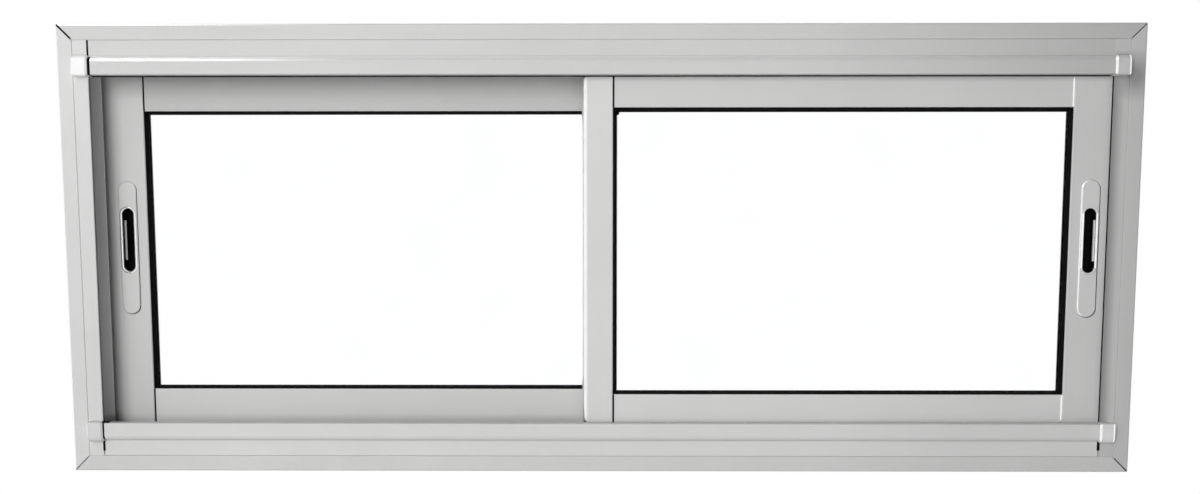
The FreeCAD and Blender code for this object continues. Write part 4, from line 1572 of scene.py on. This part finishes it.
@dataclass
class GlazingBead(Assembly):
    """Bedding that shows along two sides of the right sash's gasket, and a dab of rubber where they meet."""

    show: float = 6.7 * MM
    thickness: float = 1.0 * MM
    lap: float = 0.8 * MM
    top_width: float = 1.8 * MM
    left_width: float = 1.7 * MM
    rounding: float = 0.25 * MM
    dab_radius: float = 3.0 * MM
    dab_offset: float = 1.8 * MM
    dab_stretch: Triple = (1.0, 0.55, 1.25)
    dab_unevenness: float = 0.5 * MM

    def build_bedding(self) -> None:
        """Model the bedding along the top and the left of the glass."""
        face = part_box("right_glass")[0].y
        low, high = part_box("right_front_gasket")
        left, right = low.x + self.show, high.x - self.show
        bottom, top = low.z + self.show, high.z - self.show
        front = face - self.thickness
        corners = (
            ((left - self.lap, front, top - self.top_width), (right + self.lap, face, top + self.lap)),
            ((left - self.lap, front, bottom - self.lap), (left + self.left_width, face, top + self.lap)),
        )
        strips = [bar("strip", *ends, self.rounding) for ends in corners]
        self.dress(joined("right_gasket_bedding", strips), self.finishes.rubber, "right_sash", "black_gasket")

    def build_dab(self) -> None:
        """Model the dab against the glass."""
        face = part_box("right_glass")[0].y
        low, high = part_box("right_front_gasket")
        inset = self.show + self.dab_offset
        place = (low.x + inset, face, high.z - inset)
        deselect()
        bpy.ops.mesh.primitive_ico_sphere_add(subdivisions=2, radius=self.dab_radius, location=place)
        dab = bpy.context.object
        dab.name = "right_gasket_dab"
        dab.scale = self.dab_stretch
        bpy.ops.object.transform_apply(location=True, rotation=True, scale=True)
        bpy.ops.object.mode_set(mode="EDIT")
        bpy.ops.mesh.select_all(action="SELECT")
        bpy.ops.transform.vertex_random(offset=self.dab_unevenness, uniform=0.3, normal=0.4, seed=3)
        bpy.ops.object.mode_set(mode="OBJECT")
        apply_modifier(dab, "SUBSURF", levels=1, render_levels=1)
        shade(dab, angle=80.0)
        self.dress(dab, self.finishes.rubber, "right_sash", "black_gasket")

    def build(self) -> None:
        """Build the bedding and the dab."""
        self.build_bedding()
        self.build_dab()


@dataclass(frozen=True)
class Lamp:
    """Rectangular area lamp, which metal and glass show only if it is mirrored."""

    name: str
    place: Triple
    aim: Triple
    size: tuple[float, float]
    power: float
    mirrored: bool = False

    def build(self) -> None:
        """Hang the lamp."""
        deselect()
        bpy.ops.object.light_add(type="AREA", location=self.place)
        lamp = bpy.context.object
        lamp.name = self.name
        lamp.data.shape = "RECTANGLE"
        lamp.data.size, lamp.data.size_y = self.size
        lamp.data.energy = self.power
        lamp.visible_glossy = lamp.visible_transmission = self.mirrored
        lamp.rotation_euler = (Vector(self.aim) - Vector(self.place)).to_track_quat("-Z", "Y").to_euler()


@dataclass
class Stage:
    """White floor and surroundings, lamps and camera."""

    floor_half: float = 12.0
    floor_gap: float = 0.2 * MM
    floor_tones: tuple[float, float] = (0.78, 0.82)
    grit_scale: float = 30.0
    ambient: float = 0.06
    ambient_tint: Triple = (0.97, 0.985, 1.0)
    lamps: tuple[Lamp, ...] = (
        Lamp("key_lamp", (-0.8, -2.4, 0.8), (0.0, 0.0, 0.24), (1.0, 1.3), 39.0),
        Lamp("top_lamp", (-1.1, -0.9, 1.5), (-0.4, 0.0, 0.4), (0.8, 0.5), 4.0, True),
        Lamp("low_lamp", (0.0, -1.2, 0.06), (0.05, 0.0, 0.1), (0.9, 0.12), 2.6),
        Lamp("back_lamp", (1.5, 1.9, 0.9), (0.0, 0.0, 0.24), (1.0, 1.3), 42.0),
    )
    camera_place: Triple = (0.01076, -1.3051, 0.27288)
    camera_tilt: float = 5.753
    camera_turn: float = 0.453
    focal_pixels: float = 1161.5
    photo_width: float = 1200.0
    photo_height: float = 494.0
    axis_row: float = 340.1
    sensor: float = 36.0
    clip_start: float = 0.01

    @staticmethod
    def seen_directly(tree: bpy.types.NodeTree) -> bpy.types.NodeSocket:
        """Add a value that is 1 for rays that show a surface, direct, mirrored or through glass.

        Args:
            tree: Node tree to add to.

        Returns:
            The value.
        """
        path = tree.nodes.new("ShaderNodeLightPath")
        total = path.outputs["Is Camera Ray"]
        for name in ("Is Glossy Ray", "Is Transmission Ray"):
            most = tree.nodes.new("ShaderNodeMath")
            most.operation = "MAXIMUM"
            tree.links.new(total, most.inputs[0])
            tree.links.new(path.outputs[name], most.inputs[1])
            total = most.outputs[0]
        return total

    def build_world(self) -> None:
        """Make the surroundings white to look at, and a soft light otherwise."""
        world = bpy.data.worlds.new("studio")
        bpy.context.scene.world = world
        world.use_nodes = True
        tree = world.node_tree
        light = tree.nodes["Background"]
        light.inputs["Color"].default_value = (*self.ambient_tint, 1.0)
        light.inputs["Strength"].default_value = self.ambient
        white = tree.nodes.new("ShaderNodeBackground")
        white.inputs["Color"].default_value = (1.0, 1.0, 1.0, 1.0)
        mix = tree.nodes.new("ShaderNodeMixShader")
        tree.links.new(self.seen_directly(tree), mix.inputs[0])
        tree.links.new(light.outputs[0], mix.inputs[1])
        tree.links.new(white.outputs[0], mix.inputs[2])
        tree.links.new(mix.outputs[0], tree.nodes["World Output"].inputs["Surface"])

    def build_floor(self) -> None:
        """Lay a pale floor that looks white."""
        deselect()
        level = CAD_BOX[0].z - self.floor_gap
        bpy.ops.mesh.primitive_plane_add(size=2 * self.floor_half, location=(0, 0, level))
        floor = bpy.context.object
        floor.name = "studio_floor"
        bpy.ops.object.transform_apply(location=True, rotation=True, scale=True)
        shader = Shader("studio_floor")
        grit = shader.noise(self.grit_scale, 4.0)
        dark, pale = ((tone, tone, tone) for tone in self.floor_tones)
        tone = shader.blend(shader.spread(grit, 0.0, 1.0), dark, pale)
        shader.finish(Base_Color=tone, Roughness=0.9)
        white = shader.add("ShaderNodeEmission", {"Color": (1.0, 1.0, 1.0, 1.0), "Strength": 1.0})
        seen = self.seen_directly(shader.tree)
        mix = shader.add("ShaderNodeMixShader", {0: seen, 1: shader.surface.outputs[0], 2: white.outputs[0]})
        shader.feed(shader.tree.nodes["Material Output"], "Surface", mix.outputs[0])
        floor.data.materials.append(shader.material)

    def build_camera(self) -> None:
        """Set up the camera that was fitted to the photograph's edges."""
        deselect()
        turn = (math.radians(90.0 - self.camera_tilt), 0.0, math.radians(self.camera_turn))
        bpy.ops.object.camera_add(location=self.camera_place, rotation=turn)
        camera = bpy.context.object
        camera.data.sensor_width = self.sensor
        camera.data.sensor_fit = "HORIZONTAL"
        camera.data.lens = self.sensor * self.focal_pixels / self.photo_width
        camera.data.shift_y = (self.axis_row - self.photo_height / 2) / self.photo_width
        camera.data.clip_start = self.clip_start
        bpy.context.scene.camera = camera

    def build(self) -> None:
        """Build the whole stage."""
        bpy.context.scene.view_settings.view_transform = "Standard"
        self.build_world()
        self.build_floor()
        for lamp in self.lamps:
            lamp.build()
        self.build_camera()


def main() -> None:
    """Build the window's sub-assemblies in order and set the stage."""
    logging.basicConfig(level=logging.INFO, format="%(message)s")
    finishes = Finishes()
    OuterFrame(finishes).build()
    WeatherStrips(finishes).build()
    FrameScrews(finishes).build()
    for side in Side:
        Sash(finishes, side).build()
        FlushPull(finishes, side).build()
    GlazingBead(finishes).build()
    Stage().build()


if __name__ == "__main__":
    main()
